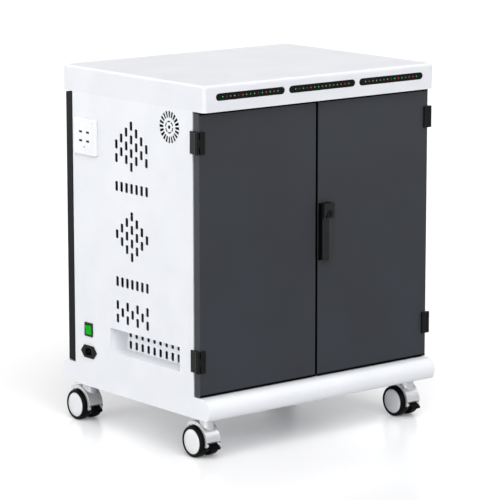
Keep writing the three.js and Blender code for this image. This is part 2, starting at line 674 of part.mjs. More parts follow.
// Shelf: a folded sheet with upright dividers that keep the laptops apart
function dividedShelf(z) {
  const top = z + SHEET;
  const profile = [
    point(BAY_FRONT, z - SHELF_FLANGE), point(BAY_FRONT + SHEET, z - SHELF_FLANGE),
    point(BAY_FRONT + SHEET, z),
    point(BAY_REAR - SHEET, z), point(BAY_REAR - SHEET, z - SHELF_FLANGE), point(BAY_REAR, z - SHELF_FLANGE),
    point(BAY_REAR, top), point(BAY_FRONT, top),
  ];
  const front = BAY_FRONT + DIVIDER_FRONT_SETBACK;
  const rear = BAY_REAR - DIVIDER_REAR_SETBACK;
  const dividerOutline = [
    point(front, z), point(rear, z), point(rear, top + DIVIDER_HEIGHT),
    ...arc(front + DIVIDER_NOSE_RADIUS, top + DIVIDER_HEIGHT - DIVIDER_NOSE_RADIUS, DIVIDER_NOSE_RADIUS,
      90, 180, 5),
  ];
  const pitch = 2 * INSIDE_HALF / BAYS_PER_TIER;
  const dividers = [];
  for (let i = 1; i < BAYS_PER_TIER; i += 1) {
    const x = -INSIDE_HALF + i * pitch;
    dividers.push(plateX(dividerOutline, [x - SHEET / 2, x + SHEET / 2]));
  }
  return joined(plateX(profile, [-INSIDE_HALF, INSIDE_HALF]), ...dividers);
}

// Power strip on the partition: a chamfered bar with a row of sunk outlets
function powerStrip(shelf) {
  const z = shelf + STRIP_ABOVE_SHELF;
  const [front, rear] = [PARTITION_Y + SHEET + FIT_GAP, PARTITION_Y + SHEET + FIT_GAP + STRIP_DEPTH];
  const profile = [
    point(front, z - STRIP_HEIGHT / 2), point(rear - STRIP_CHAMFER, z - STRIP_HEIGHT / 2),
    point(rear, z - STRIP_HEIGHT / 2 + STRIP_CHAMFER), point(rear, z + STRIP_HEIGHT / 2 - STRIP_CHAMFER),
    point(rear - STRIP_CHAMFER, z + STRIP_HEIGHT / 2), point(front, z + STRIP_HEIGHT / 2),
  ];
  const pitch = STRIP_LENGTH / STRIP_OUTLETS;
  const outlets = Array.from({ length: STRIP_OUTLETS }, (_, i) => plateY(
    rectangle(-STRIP_LENGTH / 2 + (i + 0.5) * pitch, z, STRIP_OUTLET_SIZE, STRIP_OUTLET_SIZE),
    [rear - STRIP_OUTLET_DEPTH, rear + STRIP_OUTLET_DEPTH]));
  return cut(plateX(profile, [-STRIP_LENGTH / 2, STRIP_LENGTH / 2]), ...outlets);
}

// Axial fan behind the grille: a square frame with a round duct, and a motor mount on four struts
const FAN_FROM = -PANEL_INSIDE + FIT_GAP;
const FAN_TO = FAN_FROM + FAN_DEPTH;

function fanFrame() {
  const frame = plateX(roundedRectangle(FAN_Y, FAN_Z, FAN_SIZE, FAN_SIZE, FAN_STRUT, 2), [FAN_FROM, FAN_TO],
    [circle(FAN_Y, FAN_Z, FAN_DUCT_RADIUS, 24)]);
  const mount = plateX(circle(FAN_Y, FAN_Z, FAN_HUB_RADIUS, 16), [FAN_TO - FAN_STRUT, FAN_TO]);
  const across = FAN_DUCT_RADIUS + FAN_STRUT / 2;
  const flat = plateX(rectangle(FAN_Y, FAN_Z, 2 * across, FAN_STRUT), [FAN_TO - FAN_STRUT, FAN_TO]);
  const upright = plateX(rectangle(FAN_Y, FAN_Z, FAN_STRUT, 2 * across), [FAN_TO - FAN_STRUT, FAN_TO]);
  return joined(frame, mount, flat, upright);
}

function fanRotor() {
  const from = FAN_FROM + FAN_STRUT;
  const to = FAN_TO - FAN_STRUT - FIT_GAP;
  const middle = (from + to) / 2;
  const hub = plateX(circle(FAN_Y, FAN_Z, FAN_HUB_RADIUS, 16), [from, to]);
  const tip = FAN_DUCT_RADIUS * Math.cos(Math.PI / 24) - FAN_TIP_CLEARANCE;
  const sweep = FAN_BLADE_CHORD / 2 * Math.cos(FAN_BLADE_PITCH * DEG);
  const reach = Math.sqrt(tip * tip - sweep * sweep) - FAN_BLADE_THICKNESS / 2;
  const root = FAN_HUB_RADIUS / 2;
  const blades = Array.from({ length: FAN_BLADES }, (_, i) => {
    const blade = new THREE.BoxGeometry(FAN_BLADE_THICKNESS, FAN_BLADE_CHORD, reach - root);
    blade.rotateZ(FAN_BLADE_PITCH * DEG);
    blade.translate(0, 0, (reach + root) / 2);
    blade.rotateX(i * 360 / FAN_BLADES * DEG);
    blade.translate(middle, FAN_Y, FAN_Z);
    return solidOf(blade);
  });
  return joined(hub, ...blades);
}

// Socket plate: a square moulding with softened edges, sunk contacts and a box behind the panel
function socketPlate() {
  const seat = -BODY_HALF - FIT_GAP;
  const outline = roundedRectangle(0, 0, SOCKET_SIZE, SOCKET_SIZE, SOCKET_CORNER_RADIUS, 3);
  const blank = new THREE.ExtrudeGeometry(new THREE.Shape(outline), {
    depth: SOCKET_THICKNESS,
    bevelEnabled: true,
    bevelThickness: SOCKET_EDGE_RADIUS,
    bevelSize: SOCKET_EDGE_RADIUS,
    bevelOffset: -SOCKET_EDGE_RADIUS,
    bevelSegments: 3,
  });
  blank.applyMatrix4(ALONG_X);
  blank.translate(seat - SOCKET_THICKNESS + SOCKET_EDGE_RADIUS, FITTINGS_Y, SOCKET_Z);
  const panelSide = block([seat, seat + 2 * SOCKET_THICKNESS],
    [FITTINGS_Y - SOCKET_SIZE, FITTINGS_Y + SOCKET_SIZE], [SOCKET_Z - SOCKET_SIZE, SOCKET_Z + SOCKET_SIZE]);
  const box = plateX(rectangle(FITTINGS_Y, SOCKET_Z, SOCKET_BOX_SIZE, SOCKET_BOX_SIZE),
    [seat - SOCKET_THICKNESS / 2, seat + SOCKET_BOX_DEPTH]);
  const face = seat - SOCKET_THICKNESS;
  const contact = (y, z, width, height) => plateX(rectangle(FITTINGS_Y + y, SOCKET_Z + z, width, height),
    [face - SOCKET_SLOT_DEPTH, face + SOCKET_SLOT_DEPTH]);
  const half = SOCKET_SLOT_SPACING / 2;
  const contacts = [];
  for (const rise of [SOCKET_UPPER_RISE, -SOCKET_LOWER_DROP]) {
    contacts.push(contact(-half, rise, SOCKET_SLOT_WIDTH, SOCKET_SLOT_HEIGHT));
    contacts.push(contact(half, rise, SOCKET_SLOT_WIDTH, SOCKET_SLOT_HEIGHT));
  }
  contacts.push(contact(0, -SOCKET_EARTH_DROP, SOCKET_EARTH_SIZE, SOCKET_EARTH_SIZE));
  return cut(joined(cut(solidOf(blank), panelSide), box), ...contacts);
}

// Mains switch: a bezel through the panel, and a rocker that tips about a level axis
const SWITCH_SEAT = -BODY_HALF - FIT_GAP;
const ROCKER_WIDTH = SWITCH_WIDTH - 2 * SWITCH_RIM - 2 * FIT_GAP - 2 * SWITCH_WALL - 2 * ROCKER_CLEARANCE;
const ROCKER_HEIGHT = SWITCH_HEIGHT - 2 * SWITCH_RIM - 2 * FIT_GAP - 2 * SWITCH_WALL - 2 * ROCKER_CLEARANCE;

function switchBezel() {
  const bodyWidth = SWITCH_WIDTH - 2 * SWITCH_RIM - 2 * FIT_GAP;
  const bodyHeight = SWITCH_HEIGHT - 2 * SWITCH_RIM - 2 * FIT_GAP;
  const rim = plateX(roundedRectangle(FITTINGS_Y, SWITCH_Z, SWITCH_WIDTH, SWITCH_HEIGHT, SWITCH_RIM / 2, 2),
    [SWITCH_SEAT - SWITCH_PROUD, SWITCH_SEAT]);
  const body = plateX(rectangle(FITTINGS_Y, SWITCH_Z, bodyWidth, bodyHeight),
    [SWITCH_SEAT - SWITCH_PROUD / 2, SWITCH_SEAT + SWITCH_BODY_DEPTH]);
  const wellWidth = bodyWidth - 2 * SWITCH_WALL;
  const wellHeight = bodyHeight - 2 * SWITCH_WALL;
  const well = plateX(rectangle(FITTINGS_Y, SWITCH_Z, wellWidth, wellHeight),
    [SWITCH_SEAT - 2 * SWITCH_PROUD, SWITCH_SEAT + ROCKER_DEPTH + SHEET]);
  const pivot = plateY(circle(SWITCH_SEAT + ROCKER_DEPTH / 2, SWITCH_Z, SHEET, 10),
    [FITTINGS_Y - bodyWidth / 2, FITTINGS_Y + bodyWidth / 2]);
  return joined(cut(joined(rim, body), well), pivot);
}

function switchRocker() {
  const pivotX = SWITCH_SEAT + ROCKER_DEPTH / 2;
  const out = SWITCH_SEAT - ROCKER_PROUD - pivotX;
  const half = ROCKER_HEIGHT / 2;
  const lip = half + out * Math.tan(ROCKER_TILT * DEG);
  const foot = 2 * SHEET;
  const profile = [
    point(-foot, -lip), point(out, -lip), point(out + ROCKER_PROUD / 3, 0), point(out, lip),
    point(-foot, lip),
    point(foot, foot), point(foot, -foot),
  ];
  const bore = circle(0, 0, SHEET + FIT_GAP * 1.2, 10);
  const atPivot = (p) => point(pivotX + p.x, SWITCH_Z + p.y);
  const toPanel = (points) => turned(points, 0, 0, ROCKER_TILT).map(atPivot);
  return plateY(toPanel(profile).reverse(), [FITTINGS_Y - ROCKER_WIDTH / 2, FITTINGS_Y + ROCKER_WIDTH / 2],
    [toPanel(bore)]);
}

// Mains inlet: a pointed flange, a body behind the panel, and a keyed mouth with three blades
function powerInlet() {
  const seat = -BODY_HALF - FIT_GAP;
  const face = seat - INLET_FLANGE;
  const at = (y, z) => point(FITTINGS_Y + y, INLET_Z + z);
  const [a, b] = [INLET_LENGTH / 2, INLET_HEIGHT / 2];
  const flange = plateX([
    at(-a, 0), at(-a + INLET_POINT, -b), at(a - INLET_POINT, -b), at(a, 0), at(a - INLET_POINT, b),
    at(-a + INLET_POINT, b),
  ], [face, seat]);
  const body = plateX(rectangle(FITTINGS_Y, INLET_Z, INLET_BODY_LENGTH, INLET_BODY_HEIGHT),
    [face + INLET_FLANGE / 2, seat + INLET_BODY_DEPTH]);
  const [c, d] = [INLET_MOUTH_LENGTH / 2, INLET_MOUTH_HEIGHT / 2];
  const mouth = plateX([
    at(-c, -d), at(c, -d), at(c, d - INLET_MOUTH_CHAMFER), at(c - INLET_MOUTH_CHAMFER, d),
    at(-c + INLET_MOUTH_CHAMFER, d), at(-c, d - INLET_MOUTH_CHAMFER),
  ], [face - INLET_FLANGE, face + INLET_MOUTH_DEPTH]);
  const floor = face + INLET_MOUTH_DEPTH;
  const blades = [-1, 0, 1].map((i) => plateX(
    rectangle(FITTINGS_Y + i * INLET_PIN_SPACING, INLET_Z + (i === 0 ? 1 : -1) * INLET_PIN_WIDTH,
      INLET_PIN_WIDTH, INLET_PIN_HEIGHT), [floor - INLET_PIN_LENGTH, floor + INLET_FLANGE / 2]));
  return joined(cut(joined(flange, body), mouth), ...blades);
}

// Door: a pan folded from one sheet, with rounded outer bends and a lip turned in at the back.
// xs, zs are its edges, face its outer plane, out the direction that plane faces along Y.
function panDoor(xs, zs, face, out, thickness, holes) {
  const [x0, x1] = xs;
  const [z0, z1] = zs;
  const back = face - out * thickness;
  const r = DOOR_BEND_RADIUS;
  const turn = (u, v, from) => arc(u, v, r, from, from + 90, 3);
  const outline = out < 0
    ? [...turn(x0 + r, face + r, 180), ...turn(x1 - r, face + r, 270), point(x1, back), point(x0, back)]
    : [point(x0, back), point(x1, back), ...turn(x1 - r, face - r, 0), ...turn(x0 + r, face - r, 90)];
  const hollow = block([x0 + SHEET, x1 - SHEET], [face - out * SHEET, back + out * SHEET],
    [z0 + SHEET, z1 - SHEET]);
  const backOpening = block([x0 + DOOR_LIP, x1 - DOOR_LIP], [back - out * SHEET, back + out * 2 * SHEET],
    [z0 + DOOR_LIP, z1 - DOOR_LIP]);
  return cut(plateZ(outline, zs), hollow, backOpening, ...holes);
}

function roundHole(x, z, radius, ys) {
  return plateY(circle(x, z, radius, SHAFT_SIDES), ys);
}

function rodGates() {
  const gap = ROD_SLOT_CLEARANCE;
  const gate = (x, z) => block([x - ROD_WIDTH / 2 - gap, x + ROD_WIDTH / 2 + gap],
    [ROD_FRONT - gap, ROD_BACK + gap / 4], [z - 2 * SHEET, z + 2 * SHEET]);
  return [gate(UPPER_ROD_X, DOOR_TOP), gate(LOWER_ROD_X, DOOR_BOTTOM)];
}

// Hinge pair at a door corner. side is -1 or 1 along X, out is -1 for a front door, 1 for the rear.
function hingeNumbers(out) {
  const face = out < 0 ? DOOR_FRONT : REAR_FACE;
  const jamb = out < 0 ? PANEL_FRONT : PANEL_REAR;
  return { face, axisY: face - out * HINGE_AXIS_IN, seatEnd: jamb - out * HINGE_SEAT };
}

function hingeThirds(z) {
  const third = HINGE_HEIGHT / 3;
  const bottom = z - HINGE_HEIGHT / 2;
  return [bottom, bottom + third, bottom + 2 * third, bottom + HINGE_HEIGHT];
}

function frameLeaf(side, out, z) {
  const { axisY, seatEnd } = hingeNumbers(out);
  const x = side * HINGE_X;
  const [low, first, second, high] = hingeThirds(z);
  const inner = side * (BODY_HALF + FIT_GAP);
  const outer = side * (BODY_HALF + FIT_GAP + HINGE_FRAME_LEAF);
  const knuckle = (zs) => plateZ(circle(x, axisY, HINGE_KNUCKLE_RADIUS, KNUCKLE_SIDES), zs);
  const leaf = block([inner, outer], [axisY, seatEnd], [low, high]);
  const clear = HINGE_KNUCKLE_RADIUS + HINGE_CLEARANCE;
  const notch = block([x - clear, x + clear], [axisY - clear, axisY + clear],
    [first - FIT_GAP / 2, second + FIT_GAP / 2]);
  const pin = plateZ(circle(x, axisY, HINGE_PIN_RADIUS, PIN_SIDES), [low, high]);
  return joined(cut(leaf, notch), knuckle([low, first - FIT_GAP / 2]),
    knuckle([second + FIT_GAP / 2, high]), pin);
}

function doorLeaf(side, out, z) {
  const { face, axisY } = hingeNumbers(out);
  const x = side * HINGE_X;
  const [low, first, second, high] = hingeThirds(z);
  const zs = [first + FIT_GAP / 2, second - FIT_GAP / 2];
  const from = face + out * FIT_GAP;
  const coverEnd = side * (DOOR_EDGE - HINGE_DOOR_COVER);
  const coverStart = side * (HINGE_X - HINGE_KNUCKLE_RADIUS - HINGE_CLEARANCE);
  const cover = block([coverStart, coverEnd], [from, from + out * HINGE_LEAF], [low, high]);
  const bridge = block([x, coverEnd], [from, from + out * HINGE_LEAF], zs);
  const knuckle = plateZ(circle(x, axisY, HINGE_KNUCKLE_RADIUS, KNUCKLE_SIDES), zs);
  const bore = plateZ(circle(x, axisY, HINGE_PIN_RADIUS + PIN_CLEARANCE, PIN_SIDES),
    [low - SHEET, high + SHEET]);
  return cut(joined(cover, bridge, knuckle), bore);
}

// Handle on the right door: escutcheon, ridged lever with its spindle, and a key plug
const UPPER_ROD_X = HANDLE_X - (CRANK_RADIUS + CRANK_RISE) / 2;
const LOWER_ROD_X = HANDLE_X + (CRANK_RADIUS + CRANK_RISE) / 2;

function handleHousing() {
  const outline = roundedRectangle(HANDLE_X, HANDLE_CENTRE_Z, HANDLE_WIDTH, HANDLE_HEIGHT,
    HANDLE_PLATE_RADIUS, 3);
  return plateY(outline, [DOOR_FRONT - FIT_GAP - HANDLE_PLATE, DOOR_FRONT - FIT_GAP],
    [circle(HANDLE_X, SPINDLE_Z, SPINDLE_RADIUS + PIN_CLEARANCE, SHAFT_SIDES)]);
}

function handleLever() {
  const half = HANDLE_WIDTH / 2 - LEVER_INSET;
  const bottom = HANDLE_CENTRE_Z - HANDLE_HEIGHT / 2 + LEVER_INSET;
  const top = HANDLE_TOP - LEVER_INSET;
  const headBottom = HANDLE_TOP - LEVER_HEAD_DROP;
  const at = (x, y) => point(HANDLE_X + x, LEVER_BACK - y);
  const arm = plateZ([
    at(-half, 0), at(-half, LEVER_SHOULDER), at(LEVER_RIDGE_OFFSET, LEVER_DEPTH), at(half, LEVER_SHOULDER),
    at(half, 0),
  ], [bottom, headBottom + LEVER_DEPTH]);
  const head = plateZ([
    at(-half, 0), at(-half, LEVER_DEPTH - LEVER_INSET), at(-half + 2 * LEVER_INSET, LEVER_DEPTH),
    at(half - 2 * LEVER_INSET, LEVER_DEPTH), at(half, LEVER_DEPTH - LEVER_INSET), at(half, 0),
  ], [headBottom, top]);
  const tip = plateY([
    point(HANDLE_X + half - LEVER_TIP_CHAMFER, bottom - LEVER_INSET),
    point(HANDLE_X + half + LEVER_INSET, bottom - LEVER_INSET),
    point(HANDLE_X + half + LEVER_INSET, bottom + LEVER_TIP_CHAMFER / 2),
  ], [LEVER_BACK - 2 * LEVER_DEPTH, LEVER_BACK + LEVER_INSET]);
  const spindle = roundHole(HANDLE_X, SPINDLE_Z, SPINDLE_RADIUS,
    [LEVER_BACK - LEVER_INSET, CAM_FRONT - FIT_GAP]);
  const face = LEVER_BACK - LEVER_DEPTH;
  const plugBore = roundHole(HANDLE_X, SPINDLE_Z, PLUG_RADIUS + PIN_CLEARANCE,
    [face - PLUG_PROUD, face + PLUG_LENGTH]);
  return joined(cut(joined(arm, head), tip, plugBore), spindle);
}

function lockPlug() {
  const face = LEVER_BACK - LEVER_DEPTH;
  const front = face - PLUG_PROUD;
  const plug = roundHole(HANDLE_X, SPINDLE_Z, PLUG_RADIUS, [front, face + PLUG_LENGTH - FIT_GAP]);
  const keyway = plateY(rectangle(HANDLE_X, SPINDLE_Z, KEYWAY_WIDTH, KEYWAY_HEIGHT),
    [front - KEYWAY_DEPTH, front + KEYWAY_DEPTH]);
  return cut(plug, keyway);
}

// Cam on the spindle inside the door: a link with a crank pin for each rod
function latchCam() {
  const link = turned(stadium(HANDLE_X, SPINDLE_Z, 2 * CRANK_RADIUS + CAM_WIDTH, CAM_WIDTH, 5),
    HANDLE_X, SPINDLE_Z, 135);
  const pinSpan = [CAM_BACK - CAM_THICKNESS / 2, ROD_BACK];
  const pin = (sign) => roundHole(HANDLE_X - sign * CRANK_RISE, SPINDLE_Z + sign * CRANK_RISE,
    CRANK_PIN_RADIUS, pinSpan);
  return joined(plateY(link, [CAM_FRONT, CAM_BACK]), pin(1), pin(-1));
}

// Locking rod: a flat bar from its crank pin to the door's edge. sign is 1 for the upper rod.
function lockRod(sign) {
  const x = sign > 0 ? UPPER_ROD_X : LOWER_ROD_X;
  const pinZ = SPINDLE_Z + sign * CRANK_RISE;
  const near = pinZ - sign * ROD_END;
  const far = sign > 0 ? DOOR_TOP - FIT_GAP : DOOR_BOTTOM + FIT_GAP;
  const bar = block([x - ROD_WIDTH / 2, x + ROD_WIDTH / 2], [ROD_FRONT, ROD_BACK], [near, far]);
  const slotHeight = 2 * (CRANK_PIN_RADIUS + CRANK_PIN_CLEARANCE);
  const slotLength = CRANK_RADIUS - CRANK_RISE + slotHeight;
  const slot = plateY(stadium(x, pinZ, slotLength, slotHeight, 5), [ROD_FRONT - SHEET, ROD_BACK + SHEET]);
  return cut(bar, slot);
}

// Rear door's cam lock: flange, barrel and a cam that swings behind the panel's jamb
const REAR_CAM_BACK = PANEL_REAR - SHEET - REAR_LOCK_CAM_GAP;
const REAR_CAM_FRONT = REAR_CAM_BACK - CAM_THICKNESS;

function rearLock() {
  const flangeBack = REAR_FACE + FIT_GAP;
  const front = flangeBack + REAR_LOCK_FLANGE;
  const flange = roundHole(REAR_LOCK_X, REAR_LOCK_Z, REAR_LOCK_FLANGE_RADIUS, [flangeBack, front]);
  const barrel = roundHole(REAR_LOCK_X, REAR_LOCK_Z, REAR_LOCK_BARREL_RADIUS, [REAR_CAM_FRONT, front]);
  const camLength = REAR_LOCK_CAM_LENGTH + REAR_LOCK_CAM_WIDTH / 2;
  const level = stadium(REAR_LOCK_X + REAR_LOCK_CAM_LENGTH / 2 - REAR_LOCK_CAM_WIDTH / 4, REAR_LOCK_Z,
    camLength, REAR_LOCK_CAM_WIDTH, 4);
  const cam = plateY(turned(level, REAR_LOCK_X, REAR_LOCK_Z, 90), [REAR_CAM_FRONT, REAR_CAM_BACK]);
  const keyway = plateY(rectangle(REAR_LOCK_X, REAR_LOCK_Z, KEYWAY_WIDTH, KEYWAY_HEIGHT),
    [front - KEYWAY_DEPTH, front + KEYWAY_DEPTH]);
  return cut(joined(flange, barrel, cam), keyway);
}

// Casters, drawn about the swivel axis with the floor at zero. The wheels trail towards +Y.
const NECK_TOP = CASTER_HEIGHT - FIT_GAP - CASTER_PLATE_THICKNESS - FIT_GAP;
const PEDAL_AXIS_RADIUS = WHEEL_RADIUS + FIT_GAP * 1.5 + PEDAL_PIVOT_RADIUS;
const PEDAL_Y = CASTER_TRAIL - PEDAL_AXIS_RADIUS * Math.cos(HOOD_FRONT_ANGLE * DEG);
const PEDAL_Z = WHEEL_CENTRE_Z + PEDAL_AXIS_RADIUS * Math.sin(HOOD_FRONT_ANGLE * DEG);

function casterPlate() {
  const top = CASTER_HEIGHT - FIT_GAP;
  const bottom = top - CASTER_PLATE_THICKNESS;
  const flange = plateZ(roundedRectangle(0, 0, CASTER_PLATE_SIZE, CASTER_PLATE_SIZE, 8, 2), [bottom, top]);
  const pin = plateZ(circle(0, 0, SWIVEL_PIN_RADIUS, 12), [bottom - SWIVEL_PIN_LENGTH + FIT_GAP, top]);
  return joined(flange, pin);
}

// Angles round the wheel centre, from the front (0) over the top (90) to the rear
function roundWheel(radius, from, to, steps) {
  return arc(0, 0, radius, from, to, steps).map((p) => point(CASTER_TRAIL - p.x, WHEEL_CENTRE_Z + p.y));
}

function casterHood() {
  const half = HOOD_WIDTH / 2;
  const underside = roundWheel(HOOD_INNER_RADIUS, HOOD_FRONT_ANGLE, HOOD_REAR_ANGLE, HOOD_STEPS);
  const canopy = plateX([
    ...underside,
    ...roundWheel(HOOD_OUTER_RADIUS, HOOD_REAR_ANGLE, HOOD_LIP_ANGLE, HOOD_STEPS),
  ], [-half, half]);
  const wallRadius = HOOD_INNER_RADIUS + HOOD_WALL / 2;
  const wallMiddle = roundWheel(wallRadius, HOOD_FRONT_ANGLE, HOOD_REAR_ANGLE, HOOD_STEPS);
  const web = plateX([
    ...wallMiddle.slice(HOOD_WEB_START),
    ...roundWheel(AXLE_BOSS_RADIUS, HOOD_REAR_ANGLE + 60, HOOD_FRONT_ANGLE + 330, 5),
  ].reverse(), [-HOOD_WEB / 2, HOOD_WEB / 2]);
  const neck = plateZ(circle(0, 0, NECK_RADIUS, 16), [WHEEL_CENTRE_Z + AXLE_BOSS_RADIUS, NECK_TOP]);
  const wheelRoom = plateX([point(CASTER_TRAIL, WHEEL_CENTRE_Z), ...underside].reverse(), [-half, half]);
  const socket = plateZ(circle(0, 0, SWIVEL_PIN_RADIUS + PIN_CLEARANCE, 12),
    [NECK_TOP - SWIVEL_PIN_LENGTH, NECK_TOP + SHEET]);
  const axleEnd = WHEEL_SPACING / 2 + WHEEL_WIDTH - WHEEL_CAP - FIT_GAP;
  const axle = plateX(circle(CASTER_TRAIL, WHEEL_CENTRE_Z, AXLE_RADIUS, PIN_SIDES), [-axleEnd, axleEnd]);
  const roomRadius = PEDAL_PIVOT_RADIUS + 2 * FIT_GAP + PIN_CLEARANCE;
  const pedalRoom = plateX(circle(PEDAL_Y, PEDAL_Z, roomRadius, KNUCKLE_SIDES),
    [-PEDAL_WIDTH / 2 - FIT_GAP, PEDAL_WIDTH / 2 + FIT_GAP]);
  const ears = plateX(circle(PEDAL_Y, PEDAL_Z, PEDAL_PIVOT_RADIUS, KNUCKLE_SIDES), [-half, half]);
  const pedalPin = plateX(circle(PEDAL_Y, PEDAL_Z, PEDAL_PIN_RADIUS, PIN_SIDES), [-half, half]);
  const shell = cut(joined(canopy, cut(neck, wheelRoom), ears), pedalRoom, socket);
  return joined(shell, web, axle, pedalPin);
}

// Wheel: rounded tyre shoulders, a closed outer face and a blind bore for the axle
function casterWheel(side) {
  const inner = WHEEL_SPACING / 2;
  const outer = inner + WHEEL_WIDTH;
  const s = WHEEL_SHOULDER;
  const bore = AXLE_RADIUS + PIN_CLEARANCE;
  const profile = [
    point(0, outer), point(WHEEL_RADIUS - s, outer), point(WHEEL_RADIUS - s * 0.3, outer - s * 0.4),
    point(WHEEL_RADIUS, outer - s * 1.3), point(WHEEL_RADIUS, inner + s), point(WHEEL_RADIUS - s, inner),
    point(bore, inner), point(bore, outer - WHEEL_CAP), point(0, outer - WHEEL_CAP),
  ].reverse();
  const wheel = new THREE.LatheGeometry(profile, WHEEL_SIDES, Math.PI / WHEEL_SIDES);
  wheel.rotateZ(-side * Math.PI / 2);
  wheel.translate(0, CASTER_TRAIL, WHEEL_CENTRE_Z);
  return solidOf(wheel);
}

// Brake pedal: a toe lever on a pin across the front of the hood
function brakePedal() {
  const at = (y, z) => point(PEDAL_Y - y, PEDAL_Z + z);
  const half = PEDAL_WIDTH / 2;
  const toe = plateX([
    at(0, PEDAL_PIVOT_RADIUS), at(0, -PEDAL_PIVOT_RADIUS), at(PEDAL_REACH * 0.45, -PEDAL_DROP),
    at(PEDAL_REACH * 0.9, -PEDAL_DROP), at(PEDAL_REACH, -PEDAL_DROP * 0.55),
    at(PEDAL_REACH * 0.8, -PEDAL_DROP * 0.2),
  ].reverse(), [-half, half]);
  const knuckle = plateX(circle(PEDAL_Y, PEDAL_Z, PEDAL_PIVOT_RADIUS, KNUCKLE_SIDES), [-half, half]);
  const bore = plateX(circle(PEDAL_Y, PEDAL_Z, PEDAL_PIN_RADIUS + PIN_CLEARANCE, PIN_SIDES),
    [-PEDAL_WIDTH, PEDAL_WIDTH]);
  return cut(joined(toe, knuckle), bore);
}

// Cabinet
const leftHoles = [...ventHoles(), ...grilleHoles(), ...fittingHoles()];
place('base_tray', baseTray(), whitePowderCoat());
place('left_side_panel', sidePanel(-1, leftHoles), whitePowderCoat());
place('right_side_panel', sidePanel(1, ventHoles()), whitePowderCoat());
place('top_cover', topCover(), whiteMoulding());
place('indicator_bar', indicatorBar(), blackPlastic());
place('ceiling_pan', ceilingPan(), greyShelfPaint());
place('left_vent_pocket', ventPocket(), greyShelfPaint());
place('partition_wall', partitionWall(), greyShelfPaint());
place('lower_shelf', dividedShelf(LOWER_SHELF_Z), greyShelfPaint());
place('upper_shelf', dividedShelf(UPPER_SHELF_Z), greyShelfPaint());
place('lower_power_strip', powerStrip(LOWER_SHELF_Z), blackPlastic());
place('upper_power_strip', powerStrip(UPPER_SHELF_Z), blackPlastic());

// Fan and electrical fittings
place('fan_frame', fanFrame(), blackPlastic());
place('fan_rotor', fanRotor(), blackPlastic());
place('socket_plate', socketPlate(), whiteMoulding());
place('switch_bezel', switchBezel(), blackPlastic());
place('switch_rocker', switchRocker(), greenLens());
place('power_inlet', powerInlet(), blackPlastic());

// Doors
const doorSpan = [DOOR_BOTTOM, DOOR_TOP];
const spindleHole = roundHole(HANDLE_X, SPINDLE_Z, SPINDLE_RADIUS + PIN_CLEARANCE,
  [DOOR_FRONT - SHEET, DOOR_FRONT + 2 * SHEET]);
const lockHole = roundHole(REAR_LOCK_X, REAR_LOCK_Z, REAR_LOCK_BARREL_RADIUS + PIN_CLEARANCE,
  [REAR_FACE - 2 * SHEET, REAR_FACE + SHEET]);
place('left_door', panDoor([-DOOR_EDGE, -DOOR_SEAM / 2], doorSpan, DOOR_FRONT, -1, DOOR_THICKNESS, []),
  greyPowderCoat());
place('right_door', panDoor([DOOR_SEAM / 2, DOOR_EDGE], doorSpan, DOOR_FRONT, -1, DOOR_THICKNESS,
  [spindleHole, ...rodGates()]), greyPowderCoat());
place('rear_door', panDoor([-DOOR_EDGE, DOOR_EDGE], doorSpan, REAR_FACE, 1, REAR_DOOR_THICKNESS, [lockHole]),
  greyPowderCoat());
place('rear_lock', rearLock(), bareSteel());

// Hinges: two on each front door and two on the rear door's right edge
const hingeHeights = { upper: DOOR_TOP - HINGE_FROM_DOOR_TOP, lower: DOOR_BOTTOM + HINGE_FROM_DOOR_BOTTOM };
const hingeCorners = { left: [-1, -1], right: [1, -1], rear: [1, 1] };
for (const [corner, [side, out]] of Object.entries(hingeCorners)) {
  for (const [level, z] of Object.entries(hingeHeights)) {
    place(`${corner}_${level}_hinge_frame_leaf`, frameLeaf(side, out, z), blackPlastic());
    place(`${corner}_${level}_hinge_door_leaf`, doorLeaf(side, out, z), blackPlastic());
  }
}

// Handle and rod lock
place('handle_housing', handleHousing(), blackPlastic());
place('handle_lever', handleLever(), blackPlastic());
place('lock_plug', lockPlug(), bareSteel());
place('latch_cam', latchCam(), bareSteel());
place('upper_lock_rod', lockRod(1), bareSteel());
place('lower_lock_rod', lockRod(-1), bareSteel());

// Casters
const casterCorners = { front_left: [-1, -1], front_right: [1, -1], rear_left: [-1, 1], rear_right: [1, 1] };
for (const [corner, [side, end]] of Object.entries(casterCorners)) {
  const caster = new THREE.Group();
  caster.position.set(side * CASTER_X, end * CASTER_Y, 0);
  place(`${corner}_caster_plate`, casterPlate(), bareSteel(), caster);
  place(`${corner}_caster_hood`, casterHood(), silverHood(), caster);
  place(`${corner}_wheel_outer`, casterWheel(side), tyreBlack(), caster);
  place(`${corner}_wheel_inner`, casterWheel(-side), tyreBlack(), caster);
  place(`${corner}_brake_pedal`, brakePedal(), blackPlastic(), caster);
  cart.add(caster);
}

export default cart;
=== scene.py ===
# %% [markdown]
# # A laptop charging cart
# A white steel cabinet on four twin-wheel casters, with two dark grey doors in front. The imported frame
# holds every solid in its real place. This lesson dresses those solids: it rounds their edges, gives them
# their finishes and adds the small parts, such as lamps, screws and tyres.

# %% Load the frame
import json
import math

import bmesh
import bpy
from mathutils import Matrix, Vector

